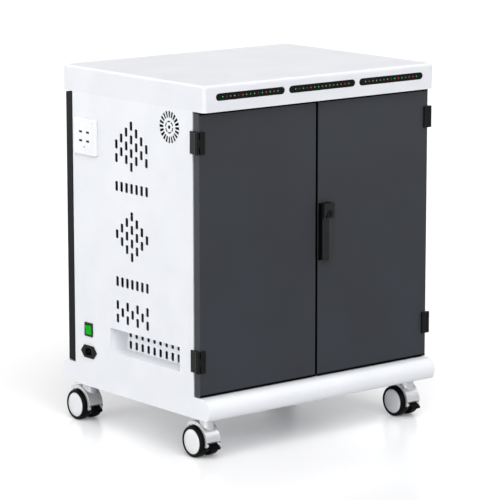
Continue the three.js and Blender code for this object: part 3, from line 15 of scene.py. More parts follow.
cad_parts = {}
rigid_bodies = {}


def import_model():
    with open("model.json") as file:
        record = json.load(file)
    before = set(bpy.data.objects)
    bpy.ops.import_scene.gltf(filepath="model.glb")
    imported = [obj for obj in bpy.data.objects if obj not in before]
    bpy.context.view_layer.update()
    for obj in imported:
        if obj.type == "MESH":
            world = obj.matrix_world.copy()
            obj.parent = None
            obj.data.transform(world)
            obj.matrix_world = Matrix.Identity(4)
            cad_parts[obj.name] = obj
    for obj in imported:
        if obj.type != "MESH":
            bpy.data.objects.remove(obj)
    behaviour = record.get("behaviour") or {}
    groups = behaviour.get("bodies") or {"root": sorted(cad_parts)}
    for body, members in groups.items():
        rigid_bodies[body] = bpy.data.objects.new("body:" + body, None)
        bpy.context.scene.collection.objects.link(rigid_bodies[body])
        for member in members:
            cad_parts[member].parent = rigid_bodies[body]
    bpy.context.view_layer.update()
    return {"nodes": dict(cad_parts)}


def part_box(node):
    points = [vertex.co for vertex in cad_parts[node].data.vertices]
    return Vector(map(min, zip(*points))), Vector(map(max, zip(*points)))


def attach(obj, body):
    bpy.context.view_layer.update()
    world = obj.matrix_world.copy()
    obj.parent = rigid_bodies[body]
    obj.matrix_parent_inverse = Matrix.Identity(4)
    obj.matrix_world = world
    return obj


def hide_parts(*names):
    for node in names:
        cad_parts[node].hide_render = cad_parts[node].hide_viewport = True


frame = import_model()
MM = 0.001

# %% [markdown]
# ## Camera
# The photograph was taken from far away with a long lens, a little above the lid and to the left of the
# doors. A camera can be placed by eye, but here it is placed by numbers that were fitted to the corners
# of the lid and the doors, so every piece falls where the photograph has it.

# %% Camera
VIEW_AZIMUTH = -39.015
VIEW_ELEVATION = 10.705
VIEW_ROLL = -0.038
VIEW_FROM = Vector((-4.0858, -5.0493, 1.6395))
LENS_MM = 199.35
SENSOR_MM = 36
FARTHEST_SEEN = 200


def camera_turn(azimuth, elevation, roll):
    """Rotation of a camera that looks back along its own +Z axis."""
    a, e, r = (math.radians(angle) for angle in (azimuth, elevation, roll))
    back = Vector((math.sin(a) * math.cos(e), -math.cos(a) * math.cos(e), math.sin(e)))
    level = Vector((math.cos(a), math.sin(a), 0))
    upright = back.cross(level)
    right = math.cos(r) * level + math.sin(r) * upright
    up = math.cos(r) * upright - math.sin(r) * level
    return Matrix((right, up, back)).transposed().to_4x4()


camera_data = bpy.data.cameras.new("photo_camera")
camera_data.lens = LENS_MM
camera_data.sensor_width = SENSOR_MM
camera_data.clip_end = FARTHEST_SEEN
camera = bpy.data.objects.new("photo_camera", camera_data)
camera.matrix_world = Matrix.Translation(VIEW_FROM) @ camera_turn(VIEW_AZIMUTH, VIEW_ELEVATION, VIEW_ROLL)
bpy.context.scene.collection.objects.link(camera)
bpy.context.scene.camera = camera
bpy.context.scene.view_settings.view_transform = "Standard"
print("camera lens", camera_data.lens, "mm")

# %% [markdown]
# ## Finishes
# Every finish is a small node tree. Its colour comes from a hex value, its grain from a noise whose size
# is a real one in millimetres, and its gloss from a typical roughness for that material. Pictures of real
# surfaces could be used instead, but a noise has no seams and no end. One function adds a node with its
# settings and links, so each tree reads as a list of its nodes.

# %% Node and colour helpers


def linear(hex_colour):
    """A web colour, such as ffffff, as the linear RGBA that shaders work in."""
    parts = [int(hex_colour[i:i + 2], 16) / 255 for i in (0, 2, 4)]
    return [c / 12.92 if c <= 0.04045 else ((c + 0.055) / 1.055) ** 2.4 for c in parts] + [1.0]


def add_node(tree, kind, settings=None, sockets=None):
    """Adds one node. Settings go on the node; a socket takes a value, or a link if it is given an output."""
    node = tree.nodes.new(kind)
    for name, value in (settings or {}).items():
        setattr(node, name, value)
    for name, value in (sockets or {}).items():
        if isinstance(value, bpy.types.NodeSocket):
            tree.links.new(value, node.inputs[name])
        else:
            node.inputs[name].default_value = value
    return node


def new_material(name):
    """An empty node material and its output node."""
    material = bpy.data.materials.new(name)
    material.use_nodes = True
    material.node_tree.nodes.clear()
    return material, add_node(material.node_tree, "ShaderNodeOutputMaterial")


print("node helpers ready")

# %% Surface helper
PER_METRE = 1000
TINT_STOPS = (0.35, 0.65)
GRAIN_SPAN = (0.3, 0.7)


def surface(name, colours, roughness, grain_mm, depth_mm, patch_mm=90.0, stretch=(1, 1, 1), **shader):
    """A finish with patches between two colours, a fine grain in relief, and gloss that varies with it.
    roughness is its lowest and highest value. stretch draws the grain out along an axis."""
    material, output = new_material(name)
    tree = material.node_tree
    place = add_node(tree, "ShaderNodeTexCoord").outputs["Object"]
    drawn = add_node(tree, "ShaderNodeMapping", None, {"Vector": place, "Scale": stretch}).outputs[0]
    patches = add_node(tree, "ShaderNodeTexNoise", None,
                       {"Vector": place, "Scale": PER_METRE / patch_mm, "Detail": 2.0}).outputs["Fac"]
    grain = add_node(tree, "ShaderNodeTexNoise", None,
                     {"Vector": drawn, "Scale": PER_METRE / grain_mm, "Detail": 3.0}).outputs["Fac"]
    tint = add_node(tree, "ShaderNodeValToRGB", None, {"Fac": patches})
    for stop, colour, spot in zip(tint.color_ramp.elements, colours, TINT_STOPS):
        stop.color = linear(colour)
        stop.position = spot
    gloss = add_node(tree, "ShaderNodeMapRange", None,
                     {"Value": grain, "From Min": GRAIN_SPAN[0], "From Max": GRAIN_SPAN[1],
                      "To Min": roughness[0], "To Max": roughness[1]})
    relief = add_node(tree, "ShaderNodeBump", None, {"Height": grain, "Distance": depth_mm * MM})
    sockets = {"Base Color": tint.outputs["Color"], "Roughness": gloss.outputs["Result"],
               "Normal": relief.outputs["Normal"]}
    sockets.update({key.replace("_", " "): value for key, value in shader.items()})
    shading = add_node(tree, "ShaderNodeBsdfPrincipled", None, sockets)
    tree.links.new(shading.outputs["BSDF"], output.inputs["Surface"])
    return material


print("surface helper ready")

# %% White finishes
# White polyester powder coat, sprayed and baked: a faint orange peel. Its real pitch is about 2 mm, and it is
# drawn at 5 mm to show
white_coat = surface("white_powder_coat", ("D8DADE", "DCDEE2"), (0.34, 0.44), 5, 0.02,
                     Specular_IOR_Level=0.2)
# White ABS, injection moulded in a spark-eroded tool: a fine even texture, drawn at 3 mm to show
white_moulding = surface("white_moulded_abs", ("D4D6DA", "D8DADE"), (0.30, 0.40), 3, 0.012,
                         Specular_IOR_Level=0.2)
# White urea resin of the wall socket, pressed in a hot tool: dense, bright and smooth
socket_white = surface("white_pressed_urea", ("DEDFE2", "E2E3E6"), (0.24, 0.32), 4, 0.008,
                       Specular_IOR_Level=0.2)
# White of the vent pocket: painted light, a brighter white than the side's powder coat to lighten its shaded
# recess
pocket_lit_white = surface("pocket_white_painted_light", ("E6E8EB", "EAECEF"), (0.40, 0.50), 4, 0.015,
                        Specular_IOR_Level=0.2)
# Glossy white ABS on the wheel discs: polished tools leave it smooth
disc_white = surface("glossy_white_abs", ("D0D2D4", "D6D8DA"), (0.16, 0.24), 4, 0.008, patch_mm=40,
                     Specular_IOR_Level=0.3)
print("finishes so far:", len(bpy.data.materials))

# %% Dark finishes
# Dark grey powder coat with a matt sand texture, drawn at 3 mm to show
door_coat = surface("dark_grey_powder_coat", ("1F2228", "22262D"), (0.48, 0.60), 3, 0.03, patch_mm=160,
                    Specular_IOR_Level=0.28)
# Black powder coat of the rear door, smoother and duller than the grey one
rear_coat = surface("black_powder_coat", ("0F1011", "131415"), (0.50, 0.62), 3, 0.02, patch_mm=160,
                    Specular_IOR_Level=0.06)
# Dark grey on the inside sheets: painted shade for the dark inside the closed cabinet, so the vents show black
inside_shade_grey = surface("inside_painted_shade_grey", ("46494E", "4E5156"), (0.52, 0.62), 4, 0.015,
                        Specular_IOR_Level=0.2)
# Black glass-filled nylon of the lever, switch and hubs, moulded: dull, with a sandy grain
black_nylon = surface("black_moulded_nylon", ("0F1011", "151617"), (0.38, 0.50), 2, 0.03, patch_mm=40,
                      Specular_IOR_Level=0.16)
# Black electrophoretic coat over cast zinc, as on hinges: a little brighter on its edges
hinge_black = surface("black_coated_zinc", ("060707", "090A0A"), (0.32, 0.44), 2, 0.02, patch_mm=30,
                      Specular_IOR_Level=0.1)
# Black phenolic of the mains inlet and the shutters, pressed in a hot tool: dense and dull
black_phenolic = surface("black_pressed_phenolic", ("0A0A0B", "0E0E0F"), (0.50, 0.62), 2, 0.02, patch_mm=30,
                         Specular_IOR_Level=0.08)
# Black polyurethane tread, cast: smooth with a soft sheen
tread_black = surface("black_cast_polyurethane", ("040404", "070707"), (0.40, 0.52), 2, 0.02, patch_mm=30,
                      Specular_IOR_Level=0.05)
# Black rubber of the inside trims and grommets, extruded: dull and a little uneven
trim_rubber = surface("black_extruded_rubber", ("0C0D0D", "111212"), (0.55, 0.68), 2, 0.03, patch_mm=30,
                      Specular_IOR_Level=0.1)
# Painted shade: a dull near-black for the door gaps, the handle's side, the grille's slots and the dimple
painted_shade_black = surface("near_black_painted_shade", ("030303", "050505"), (0.80, 0.92), 2, 0.05, patch_mm=20,
                      Specular_IOR_Level=0.02)
# Black glass-filled polyester of the pedals, very dark and dull; on the fan and handle plate it is painted shade
black_and_shade = surface("black_polyester_and_painted_shade", ("040404", "060606"), (0.50, 0.62), 2, 0.02, patch_mm=20,
                    Specular_IOR_Level=0.03)
print("finishes so far:", len(bpy.data.materials))

# %% Metals and lenses
# Silver lacquer over moulded nylon on the caster hoods: metal flakes make it between plastic and metal
hood_silver = surface("silver_lacquered_nylon", ("B4B5B8", "BEBFC2"), (0.30, 0.38), 1.5, 0.01, patch_mm=40,
                      Metallic=0.5)
# Bright zinc plate on pressed steel: a metal with drawn-out rolling marks
zinc_plate = surface("bright_zinc_plate", ("B2B5B8", "C2C5C8"), (0.28, 0.42), 3, 0.02, patch_mm=25,
                     stretch=(1, 1, 0.1), Metallic=1.0)
# Nickel plate on contact blades: a warm grey metal with a soft shine
nickel_plate = surface("nickel_plated_brass", ("8E8A80", "9A968C"), (0.30, 0.40), 2, 0.01, patch_mm=15,
                       Metallic=1.0)
# Smoked acrylic of the lamp windows: nearly black and highly polished
smoked_acrylic = surface("smoked_acrylic", ("030303", "060606"), (0.10, 0.16), 6, 0.004, patch_mm=60,
                         Specular_IOR_Level=0.1)
# Green translucent polycarbonate of the lit rocker: glows from a neon lamp inside
rocker_green = surface("lit_green_polycarbonate", ("068C14", "0A9A1C"), (0.14, 0.22), 5, 0.01, patch_mm=12,
                       Emission_Color=linear("05AF20"), Emission_Strength=0.27, Specular_IOR_Level=0.02)
print("finishes so far:", len(bpy.data.materials))

# %% Lamp finishes
# Diffused epoxy of the small lamps. Each colour glows a little more than daylight on it would
LAMP_COLOURS = {"green": "18A845", "red": "C0242A", "amber": "A88A5A", "olive": "62703A", "dim": "4A2A1C"}
LAMP_GLOW = {"green": 0.3, "red": 0.35, "amber": 0.2, "olive": 0.15, "dim": 0.1}
lamp_finish = {}
for lamp, colour in LAMP_COLOURS.items():
    lamp_finish[lamp] = surface(f"{lamp}_epoxy_lamp", (colour, colour), (0.18, 0.26), 1, 0.005, patch_mm=4,
                                Emission_Color=linear(colour), Emission_Strength=LAMP_GLOW[lamp])
print("lamps:", ", ".join(lamp_finish))

# %% [markdown]
# ## Dressing a solid
# A real edge is never perfectly sharp: paint and moulding tools round it, and the thin bright line along
# it tells the eye what it is. The frame's meshes are loose triangles and stay as they are. A copy is
# welded, its flat faces are joined, and a bevel rounds each edge that turns sharply. Weighted normals
# keep the large faces flat.

# %% Rounding helpers
EDGE_STEPS = 2
SHARP_DEGREES = 35
scene_pieces = bpy.context.scene.collection.objects


def plain_mesh(obj, name):
    """The object with its modifiers applied, as a new plain mesh object at the origin."""
    evaluated = obj.evaluated_get(bpy.context.evaluated_depsgraph_get())
    mesh = bpy.data.meshes.new_from_object(evaluated)
    mesh.name = name
    piece = bpy.data.objects.new(name, mesh)
    old = obj.data
    bpy.data.objects.remove(obj)
    if old.users == 0:
        bpy.data.meshes.remove(old)
    scene_pieces.link(piece)
    return piece


def rounded(obj, name, edge_mm, from_degrees=SHARP_DEGREES, clamp=True):
    """Rounds the edges of an object that turn by more than from_degrees, and keeps its flats flat."""
    obj.data.shade_smooth()
    if edge_mm > 0:
        bevel = obj.modifiers.new("Rounded edges", "BEVEL")
        bevel.width = edge_mm * MM
        bevel.segments = EDGE_STEPS
        bevel.limit_method = "ANGLE"
        bevel.angle_limit = math.radians(from_degrees)
        bevel.use_clamp_overlap = clamp
    else:
        obj.data.set_sharp_from_angle(angle=math.radians(from_degrees))
    normals = obj.modifiers.new("Flat faces stay flat", "WEIGHTED_NORMAL")
    normals.keep_sharp = True
    return plain_mesh(obj, name)


print("rounding helpers ready")

# %% Dressing helpers
WELD_DISTANCE = 2e-5
FLAT_DEGREES = 0.5


def dressed(name, node, edge_mm, from_degrees=SHARP_DEGREES, clamp=True):
    """A welded copy of a frame node with rounded edges."""
    shape = bmesh.new()
    shape.from_mesh(frame["nodes"][node].data)
    # The solid's stored normals no longer fit once its edges are rounded
    for layer in list(shape.loops.layers.float_vector.values()):
        shape.loops.layers.float_vector.remove(layer)
    bmesh.ops.remove_doubles(shape, verts=shape.verts, dist=WELD_DISTANCE)
    bmesh.ops.dissolve_limit(shape, angle_limit=math.radians(FLAT_DEGREES), verts=shape.verts,
                             edges=shape.edges)
    welded = bpy.data.meshes.new(name)
    shape.to_mesh(welded)
    shape.free()
    blank = bpy.data.objects.new(name, welded)
    scene_pieces.link(blank)
    return rounded(blank, name, edge_mm, from_degrees, clamp)


def fit(piece, body, finish, slot, *stands_for):
    """Gives a piece its finish, and puts it on its body."""
    piece.data.materials.clear()
    piece.data.materials.append(finish)
    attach(piece, body)
    if stands_for:
        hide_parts(*stands_for)


def paint(finish, *nodes):
    """Gives frame nodes a finish without touching their meshes."""
    for node in nodes:
        data = frame["nodes"][node].data
        data.materials.clear()
        data.materials.append(finish)


print("dressing helpers ready")

# %% [markdown]
# ## Cabinet
# The side panels are punched sheet, so their solids are already right and only need paint. The lid and
# the base are large rounded forms: their solids carry the curves, and the dressed copies round the rims
# and the window edges.

# %% Cabinet sheets
LID_ROUNDING = 0.3
BASE_ROUNDING = 1.5
paint(white_coat, "left_side_panel", "right_side_panel")
# The pocket's brighter white is painted light in its recess
paint(pocket_lit_white, "left_vent_pocket")
# The inside sheets get painted shade: a dark grey for the unlit inside of the closed cabinet
paint(inside_shade_grey, "ceiling_pan", "partition_wall", "lower_shelf", "upper_shelf")
fit(dressed("lid_shell", "top_cover", LID_ROUNDING), "cabinet", white_moulding, "white_moulding", "top_cover")
fit(dressed("base_plinth", "base_tray", BASE_ROUNDING), "cabinet", white_coat, "white_powder_coat", "base_tray")
fit(dressed("lamp_windows", "indicator_bar", 0.3), "cabinet", smoked_acrylic, "clear_lens", "indicator_bar")
print("lid, base and windows dressed")

# %% [markdown]
# ## Doors and hinges
# The front doors are folded sheet with a dark grey coat, and the rear one is black. Each hangs on two
# coated zinc hinges. A hinge could be one piece, but its leaves ride on different bodies, so each leaf is
# dressed alone. A barrel's small facets stay smooth, because only edges that turn more are rounded.

# %% Doors and hinges
BARREL_DEGREES = 50
DOOR_COATS = {"left": (door_coat, "door_powder_coat"), "right": (door_coat, "door_powder_coat"),
              "rear": (rear_coat, "black_powder_coat")}
for side, (coat, coat_slot) in DOOR_COATS.items():
    leaf = f"{side}_leaf"
    fit(dressed(f"{side}_door_pan", f"{side}_door", 0.7), leaf, coat, coat_slot, f"{side}_door")
    for level in ("upper", "lower"):
        hinge = f"{side}_{level}_hinge"
        for part, half, body in (("seat", "frame_leaf", "cabinet"), ("cover", "door_leaf", leaf)):
            fit(dressed(f"{hinge}_{part}", f"{hinge}_{half}", 0.3, BARREL_DEGREES), body, hinge_black,
                "hinge_black", f"{hinge}_{half}")
print("doors and hinges dressed")

# %% [markdown]
# ## Handle and locks
# The handle is moulded plastic: a plate on the door, and a lever that swings with the key barrel in it.
# Behind the door a plated cam draws two rods in, and the rear door has a small cam lock. They could stay
# plain, because most of them show only with a door open, but rounded edges catch the light there too.

# %% Handle and locks
# The plate's near-black is painted shade: its side stands for the shadow beside the handle
fit(dressed("handle_plate", "handle_housing", 0.8), "right_leaf", black_and_shade, "black_plastic", "handle_housing")
fit(dressed("handle_grip", "handle_lever", 0.9), "handle", black_nylon, "black_plastic", "handle_lever")
fit(dressed("key_barrel", "lock_plug", 0.5), "key_plug", hinge_black, "zinc_steel", "lock_plug")
fit(dressed("rod_cam", "latch_cam", 0.3), "handle", zinc_plate, "zinc_steel", "latch_cam")
for level in ("upper", "lower"):
    fit(dressed(f"{level}_rod_bar", f"{level}_lock_rod", 0.4), f"{level}_rod", zinc_plate, "zinc_steel",
        f"{level}_lock_rod")
fit(dressed("rear_cam_lock_body", "rear_lock", 0.4), "rear_cam_lock", zinc_plate, "zinc_steel", "rear_lock")
print("handle and locks dressed")

# %% [markdown]
# ## Electrical fittings
# The wall socket, the lit switch, the mains inlet, the fan and the power strips are bought parts, moulded
# in plastic. Their solids have the right forms, so small edges are enough. Each plastic has its own tone,
# because the blacks of the real parts differ; the fan is darker still, as painted shade of the cabinet behind.

# %% Electrical fittings
fit(dressed("socket_faceplate", "socket_plate", 0.4), "cabinet", socket_white, "white_moulding", "socket_plate")
fit(dressed("switch_surround", "switch_bezel", 0.4), "cabinet", black_nylon, "black_plastic", "switch_bezel")
fit(dressed("lit_rocker", "switch_rocker", 0.5), "rocker", rocker_green, "green_rocker", "switch_rocker")
fit(dressed("mains_inlet", "power_inlet", 0.5), "cabinet", black_phenolic, "black_plastic", "power_inlet")
# The fan's near-black is painted shade of the dark cabinet behind the grille
fit(dressed("fan_housing", "fan_frame", 0.5), "cabinet", black_and_shade, "black_plastic", "fan_frame")
fit(dressed("fan_impeller", "fan_rotor", 0.3), "fan_wheel", black_and_shade, "black_plastic", "fan_rotor")
for level in ("lower", "upper"):
    fit(dressed(f"{level}_outlet_bar", f"{level}_power_strip", 0.6), "cabinet", black_nylon, "black_plastic",
        f"{level}_power_strip")
print("electrical fittings dressed")

# %% [markdown]
# ## Casters
# Each caster is a zinc plate under the base, a lacquered hood that swivels, two wheels and a brake pedal.
# The hood is a thin shell with short edges. A bevel that is clamped to them would shrink to nothing, so
# the hood's is not clamped.

# %% Casters
CORNERS = ("front_left", "front_right", "rear_left", "rear_right")
for corner in CORNERS:
    fit(dressed(f"{corner}_top_plate", f"{corner}_caster_plate", 0.4), "cabinet", zinc_plate, "zinc_steel",
        f"{corner}_caster_plate")
    fit(dressed(f"{corner}_hood", f"{corner}_caster_hood", 0.5, clamp=False), f"{corner}_caster", hood_silver,
        "silver_moulding", f"{corner}_caster_hood")
    fit(dressed(f"{corner}_pedal", f"{corner}_brake_pedal", 0.6), f"{corner}_brake", black_and_shade,
        "black_plastic", f"{corner}_brake_pedal")
print("casters dressed")

# %% [markdown]
# ## Shapes for the small parts
# A turned part, such as a wheel or a screw, is a profile spun round an axis. A trim or a grommet is a
# section carried along a path. A seal or a socket's shutter is a block. Curves and modifiers could make
# them too, but mesh code builds them ring by ring, so that every face has its place.

# %% Turned and swept shapes
CREASE_DEGREES = 38


def ring_mesh(name, rings, closed_along):
    """Joins rings of points with faces. A ring of one point is a pole. Ends that stay open are capped."""
    shape = bmesh.new()
    made = [[shape.verts.new(point) for point in ring] for ring in rings]
    pairs = list(zip(made, made[1:] + made[:1])) if closed_along else list(zip(made, made[1:]))
    for low, high in pairs:
        count = max(len(low), len(high))
        for i in range(count):
            j = (i + 1) % count
            corners = [low[i % len(low)], low[j % len(low)], high[j % len(high)], high[i % len(high)]]
            face = list(dict.fromkeys(corners))
            if len(face) > 2:
                shape.faces.new(face)
    if not closed_along:
        for end in (made[0], made[-1]):
            if len(end) > 2:
                shape.faces.new(end)
    bmesh.ops.recalc_face_normals(shape, faces=shape.faces)
    mesh = bpy.data.meshes.new(name)
    shape.to_mesh(mesh)
    shape.free()
    mesh.shade_smooth()
    mesh.set_sharp_from_angle(angle=math.radians(CREASE_DEGREES))
    obj = bpy.data.objects.new(name, mesh)
    scene_pieces.link(obj)
    return obj


def turned(name, profile_mm, centre, axis, closed, steps=64):
    """Spins a profile of (radius, height) pairs round an axis through centre."""
    turn = Vector(axis).to_track_quat("Z", "X").to_matrix()
    rings = []
    for radius, height in profile_mm:
        spots = steps if radius > 0 else 1
        rings.append([Vector(centre) + turn @ Vector((radius * MM * math.cos(2 * math.pi * i / spots),
                                                      radius * MM * math.sin(2 * math.pi * i / spots),
                                                      height * MM)) for i in range(spots)])
    return ring_mesh(name, rings, closed)


def swept(name, path, outward, sideways, section_mm, closed):
    """Carries a section of (outward, sideways) pairs along a path. outward holds a direction for each point."""
    rings = [[point + out * (u * MM) + sideways * (v * MM) for u, v in section_mm]
             for point, out in zip(path, outward)]
    return ring_mesh(name, rings, closed)


print("ring shapes ready")

# %% Blocks


def block(name, low, high, edge_mm, cuts=()):
    """A block between two corners, less the blocks in cuts, with rounded edges."""
    shape = bmesh.new()
    bmesh.ops.create_cube(shape, size=1)
    span = Vector(high) - Vector(low)
    shape.transform(Matrix.Translation((Vector(low) + Vector(high)) / 2) @ Matrix.Diagonal((*span, 1)))
    mesh = bpy.data.meshes.new(name)
    shape.to_mesh(mesh)
    shape.free()
    blank = bpy.data.objects.new(name, mesh)
    scene_pieces.link(blank)
    tools = [block(f"{name}_cut", *corners, 0) for corners in cuts]
    for tool in tools:
        sunk = blank.modifiers.new("Sunk slot", "BOOLEAN")
        sunk.object = tool
    piece = rounded(blank, name, edge_mm)
    for tool in tools:
        bpy.data.objects.remove(tool)
    return piece


print("blocks ready")

# %% [markdown]
# ## Wheels
# Each caster has two wheels: a black tread on a hub, and a white disc snapped into its outer face. The
# frame's wheel has few sides, which would show in its outline, so the three parts are turned again with
# a round profile. The tread's radius is the height of the axle, so it just touches the floor.

# %% Wheels
WHEEL_INNER = 6.0
WHEEL_OUTER = 29.0
DISC_RADIUS = 29.0
AXLE_HOLE = 4.6


def wheel_parts(corner, which, sign):
    """Tread, hub and disc of one wheel. sign is the direction along X of its outer face."""
    low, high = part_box(f"{corner}_wheel_{which}")
    swivel_x = (high.x if sign < 0 else low.x) - sign * WHEEL_INNER * MM
    centre = Vector((swivel_x, (low.y + high.y) / 2, (low.z + high.z) / 2))
    radius = centre.z / MM
    axis = (sign, 0, 0)
    inner, outer, rim = WHEEL_INNER, WHEEL_OUTER, DISC_RADIUS
    tread = [(rim + 0.4, outer - 0.6), (rim + 2, outer), (radius - 4.2, outer - 0.1), (radius - 2, outer - 1),
             (radius - 0.6, outer - 3), (radius, outer - 6), (radius, inner + 6), (radius - 0.6, inner + 3),
             (radius - 2, inner + 1), (radius - 4.2, inner + 0.2), (rim + 0.4, inner)]
    hub = [(AXLE_HOLE, inner + 2), (8, inner + 0.6), (11, inner + 1), (13, inner + 4), (rim - 4, inner + 5),
           (rim - 1, inner + 1.5), (rim + 0.2, inner + 1), (rim + 0.2, outer - 3), (AXLE_HOLE, outer - 3)]
    disc = [(0, outer + 0.4), (9, outer + 0.3), (18, outer), (rim - 3.2, outer - 0.5), (rim - 2.6, outer - 1),
            (rim - 2, outer - 0.6), (rim - 0.6, outer - 1), (rim, outer - 1.8), (rim, outer - 2.8),
            (0, outer - 2.8)]
    body = f"{corner}_{which}_wheel"
    fit(turned(f"{corner}_{which}_tread", tread, centre, axis, True), body, tread_black, "tyre_rubber",
        f"{corner}_wheel_{which}")
    fit(turned(f"{corner}_{which}_hub", hub, centre, axis, True), body, black_nylon, "black_plastic")
    fit(turned(f"{corner}_{which}_disc", disc, centre, axis, False), body, disc_white, "white_moulding")
    return radius


for corner in CORNERS:
    outwards = -1 if corner.endswith("left") else 1
    wheel_radius = wheel_parts(corner, "outer", outwards)
    wheel_parts(corner, "inner", -outwards)
print("wheel radius", round(wheel_radius, 2), "mm")

# %% [markdown]
# ## Parts that repeat
# Lamps, bolts, outlets and trims each repeat at an even pitch. Copies could be placed one by one in a
# loop, but one Geometry Nodes tree sets them out: it draws a row from every place it is given and puts
# the shape on each point of the row.

# %% Geometry Nodes tree for rows
set_out = bpy.data.node_groups.new("rows_of_parts", "GeometryNodeTree")
set_out.interface.new_socket("Parts", in_out="OUTPUT", socket_type="NodeSocketGeometry")
row_inputs = {}
for label, kind in (("Places", "NodeSocketGeometry"), ("Shape", "NodeSocketObject"), ("Count", "NodeSocketInt"),
                    ("Step", "NodeSocketVector"), ("Finish", "NodeSocketMaterial")):
    row_inputs[label] = set_out.interface.new_socket(label, in_out="INPUT", socket_type=kind).identifier
given = add_node(set_out, "NodeGroupInput").outputs
row = add_node(set_out, "GeometryNodeMeshLine", {"mode": "OFFSET"},
               {"Count": given["Count"], "Offset": given["Step"]}).outputs["Mesh"]
rows = add_node(set_out, "GeometryNodeInstanceOnPoints", None, {"Points": given["Places"], "Instance": row})
spots = add_node(set_out, "GeometryNodeRealizeInstances", None, {"Geometry": rows.outputs["Instances"]})
part = add_node(set_out, "GeometryNodeObjectInfo", None, {"Object": given["Shape"]}).outputs["Geometry"]
parts = add_node(set_out, "GeometryNodeInstanceOnPoints", None,
                 {"Points": spots.outputs["Geometry"], "Instance": part})
solid = add_node(set_out, "GeometryNodeRealizeInstances", None, {"Geometry": parts.outputs["Instances"]})
coated = add_node(set_out, "GeometryNodeSetMaterial", None,
                  {"Geometry": solid.outputs["Geometry"], "Material": given["Finish"]})
add_node(set_out, "NodeGroupOutput", None, {"Parts": coated.outputs["Geometry"]})
print("row tree:", len(set_out.nodes), "nodes")

# %% Rows as plain meshes


def repeated(name, shape, places, finish, count=1, step=(0, 0, 0)):
    """Rows of a shape from each place, as one plain mesh."""
    mesh = bpy.data.meshes.new(name)
    mesh.from_pydata(places, [], [])
    base = bpy.data.objects.new(name, mesh)
    scene_pieces.link(base)
    rows_modifier = base.modifiers.new("Rows", "NODES")
    rows_modifier.node_group = set_out
    for label, value in (("Shape", shape), ("Count", count), ("Step", step), ("Finish", finish)):
        rows_modifier[row_inputs[label]] = value
    piece = plain_mesh(base, name)
    piece.data.shade_smooth()
    piece.data.set_sharp_from_angle(angle=math.radians(CREASE_DEGREES))
    return piece


print("rows ready")

# %% [markdown]
# ## Indicator lamps
# Three dark windows along the lid's front edge show rows of small coloured lamps. They could be painted
# on the windows, but a dome catches light from every side. One dome is set out at the places of each
# colour, so that a colour is one piece.

# %% Indicator lamps
WINDOW_CENTRES = (-0.211, 0.0, 0.211)
WINDOW_FACE_Y = -0.2694
WINDOW_HEIGHT_Z = 0.832
LAMP_PITCH = 0.01136
LAMP_SIDE_SPAN = 7
LAMP_ROWS = (
    "green dim amber amber dim red green olive green dim green red green red green",
    "green dim green dim red green green green amber green olive green red red green",
    "green red green amber green red green dim green red green olive red red green",
)
DOME_PROFILE = [(1.35, -0.4), (1.35, 0.2), (0.9, 0.6), (0, 0.7)]
DOME_SIDES = 10
lamp_dome = turned("lamp_dome", DOME_PROFILE, (0, 0, 0), (0, -1, 0), False, DOME_SIDES)
lamp_places = {lamp: [] for lamp in lamp_finish}
for centre_x, pattern in zip(WINDOW_CENTRES, LAMP_ROWS):
    for i, lamp in enumerate(pattern.split()):
        lamp_x = centre_x + (i - LAMP_SIDE_SPAN) * LAMP_PITCH
        lamp_places[lamp].append((lamp_x, WINDOW_FACE_Y, WINDOW_HEIGHT_Z))
for lamp, places in lamp_places.items():
    fit(repeated(f"{lamp}_lamps", lamp_dome, places, lamp_finish[lamp]), "cabinet", lamp_finish[lamp],
        "clear_lens")
bpy.data.objects.remove(lamp_dome)
print("lamps:", {lamp: len(places) for lamp, places in lamp_places.items()})

# %% [markdown]
# ## Bolts and screws
# Four bolts hold each caster's plate under the base, and four screws hold the fan behind its grille. Each
# head is one turned profile with a sunk socket. Its sides are few, because it is small and repeated.

# %% Caster bolts
HEAD_SIDES = 12
BOLT_PROFILE = [(0, -1.6), (2.2, -1.6), (2.4, -3), (4.2, -3), (5, -2.2), (5, 0.2), (0, 0.2)]
BOLT_REACH = 22
PLATE_THICKNESS = 3
bolt_head = turned("bolt_head", BOLT_PROFILE, (0, 0, 0), (0, 0, 1), False, HEAD_SIDES)
bolt_places = []
for corner in CORNERS:
    low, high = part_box(f"{corner}_caster_plate")
    plate_under = high.z - PLATE_THICKNESS * MM
    middle = (low + high) / 2
    bolt_places += [(middle.x + i * BOLT_REACH * MM, middle.y + j * BOLT_REACH * MM, plate_under)
                    for i in (-1, 1) for j in (-1, 1)]
fit(repeated("caster_bolts", bolt_head, bolt_places, zinc_plate), "cabinet", zinc_plate, "zinc_steel")
bpy.data.objects.remove(bolt_head)
print("caster bolts:", len(bolt_places))

# %% Fan screws
SCREW_PROFILE = [(0, 0.8), (1.4, 0.8), (1.5, 2.1), (2.6, 2), (3.4, 1.2), (3.5, -0.2), (0, -0.2)]
SCREW_REACH = 35.5
fan_low, fan_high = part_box("fan_frame")
fan_middle = (fan_low + fan_high) / 2
screw_head = turned("screw_head", SCREW_PROFILE, (0, 0, 0), (1, 0, 0), False, HEAD_SIDES)
screw_places = [(fan_high.x, fan_middle.y + i * SCREW_REACH * MM, fan_middle.z + j * SCREW_REACH * MM)
                for i in (-1, 1) for j in (-1, 1)]
fit(repeated("fan_screws", screw_head, screw_places, zinc_plate), "cabinet", zinc_plate, "zinc_steel")
bpy.data.objects.remove(screw_head)
print("fan screws:", len(screw_places))
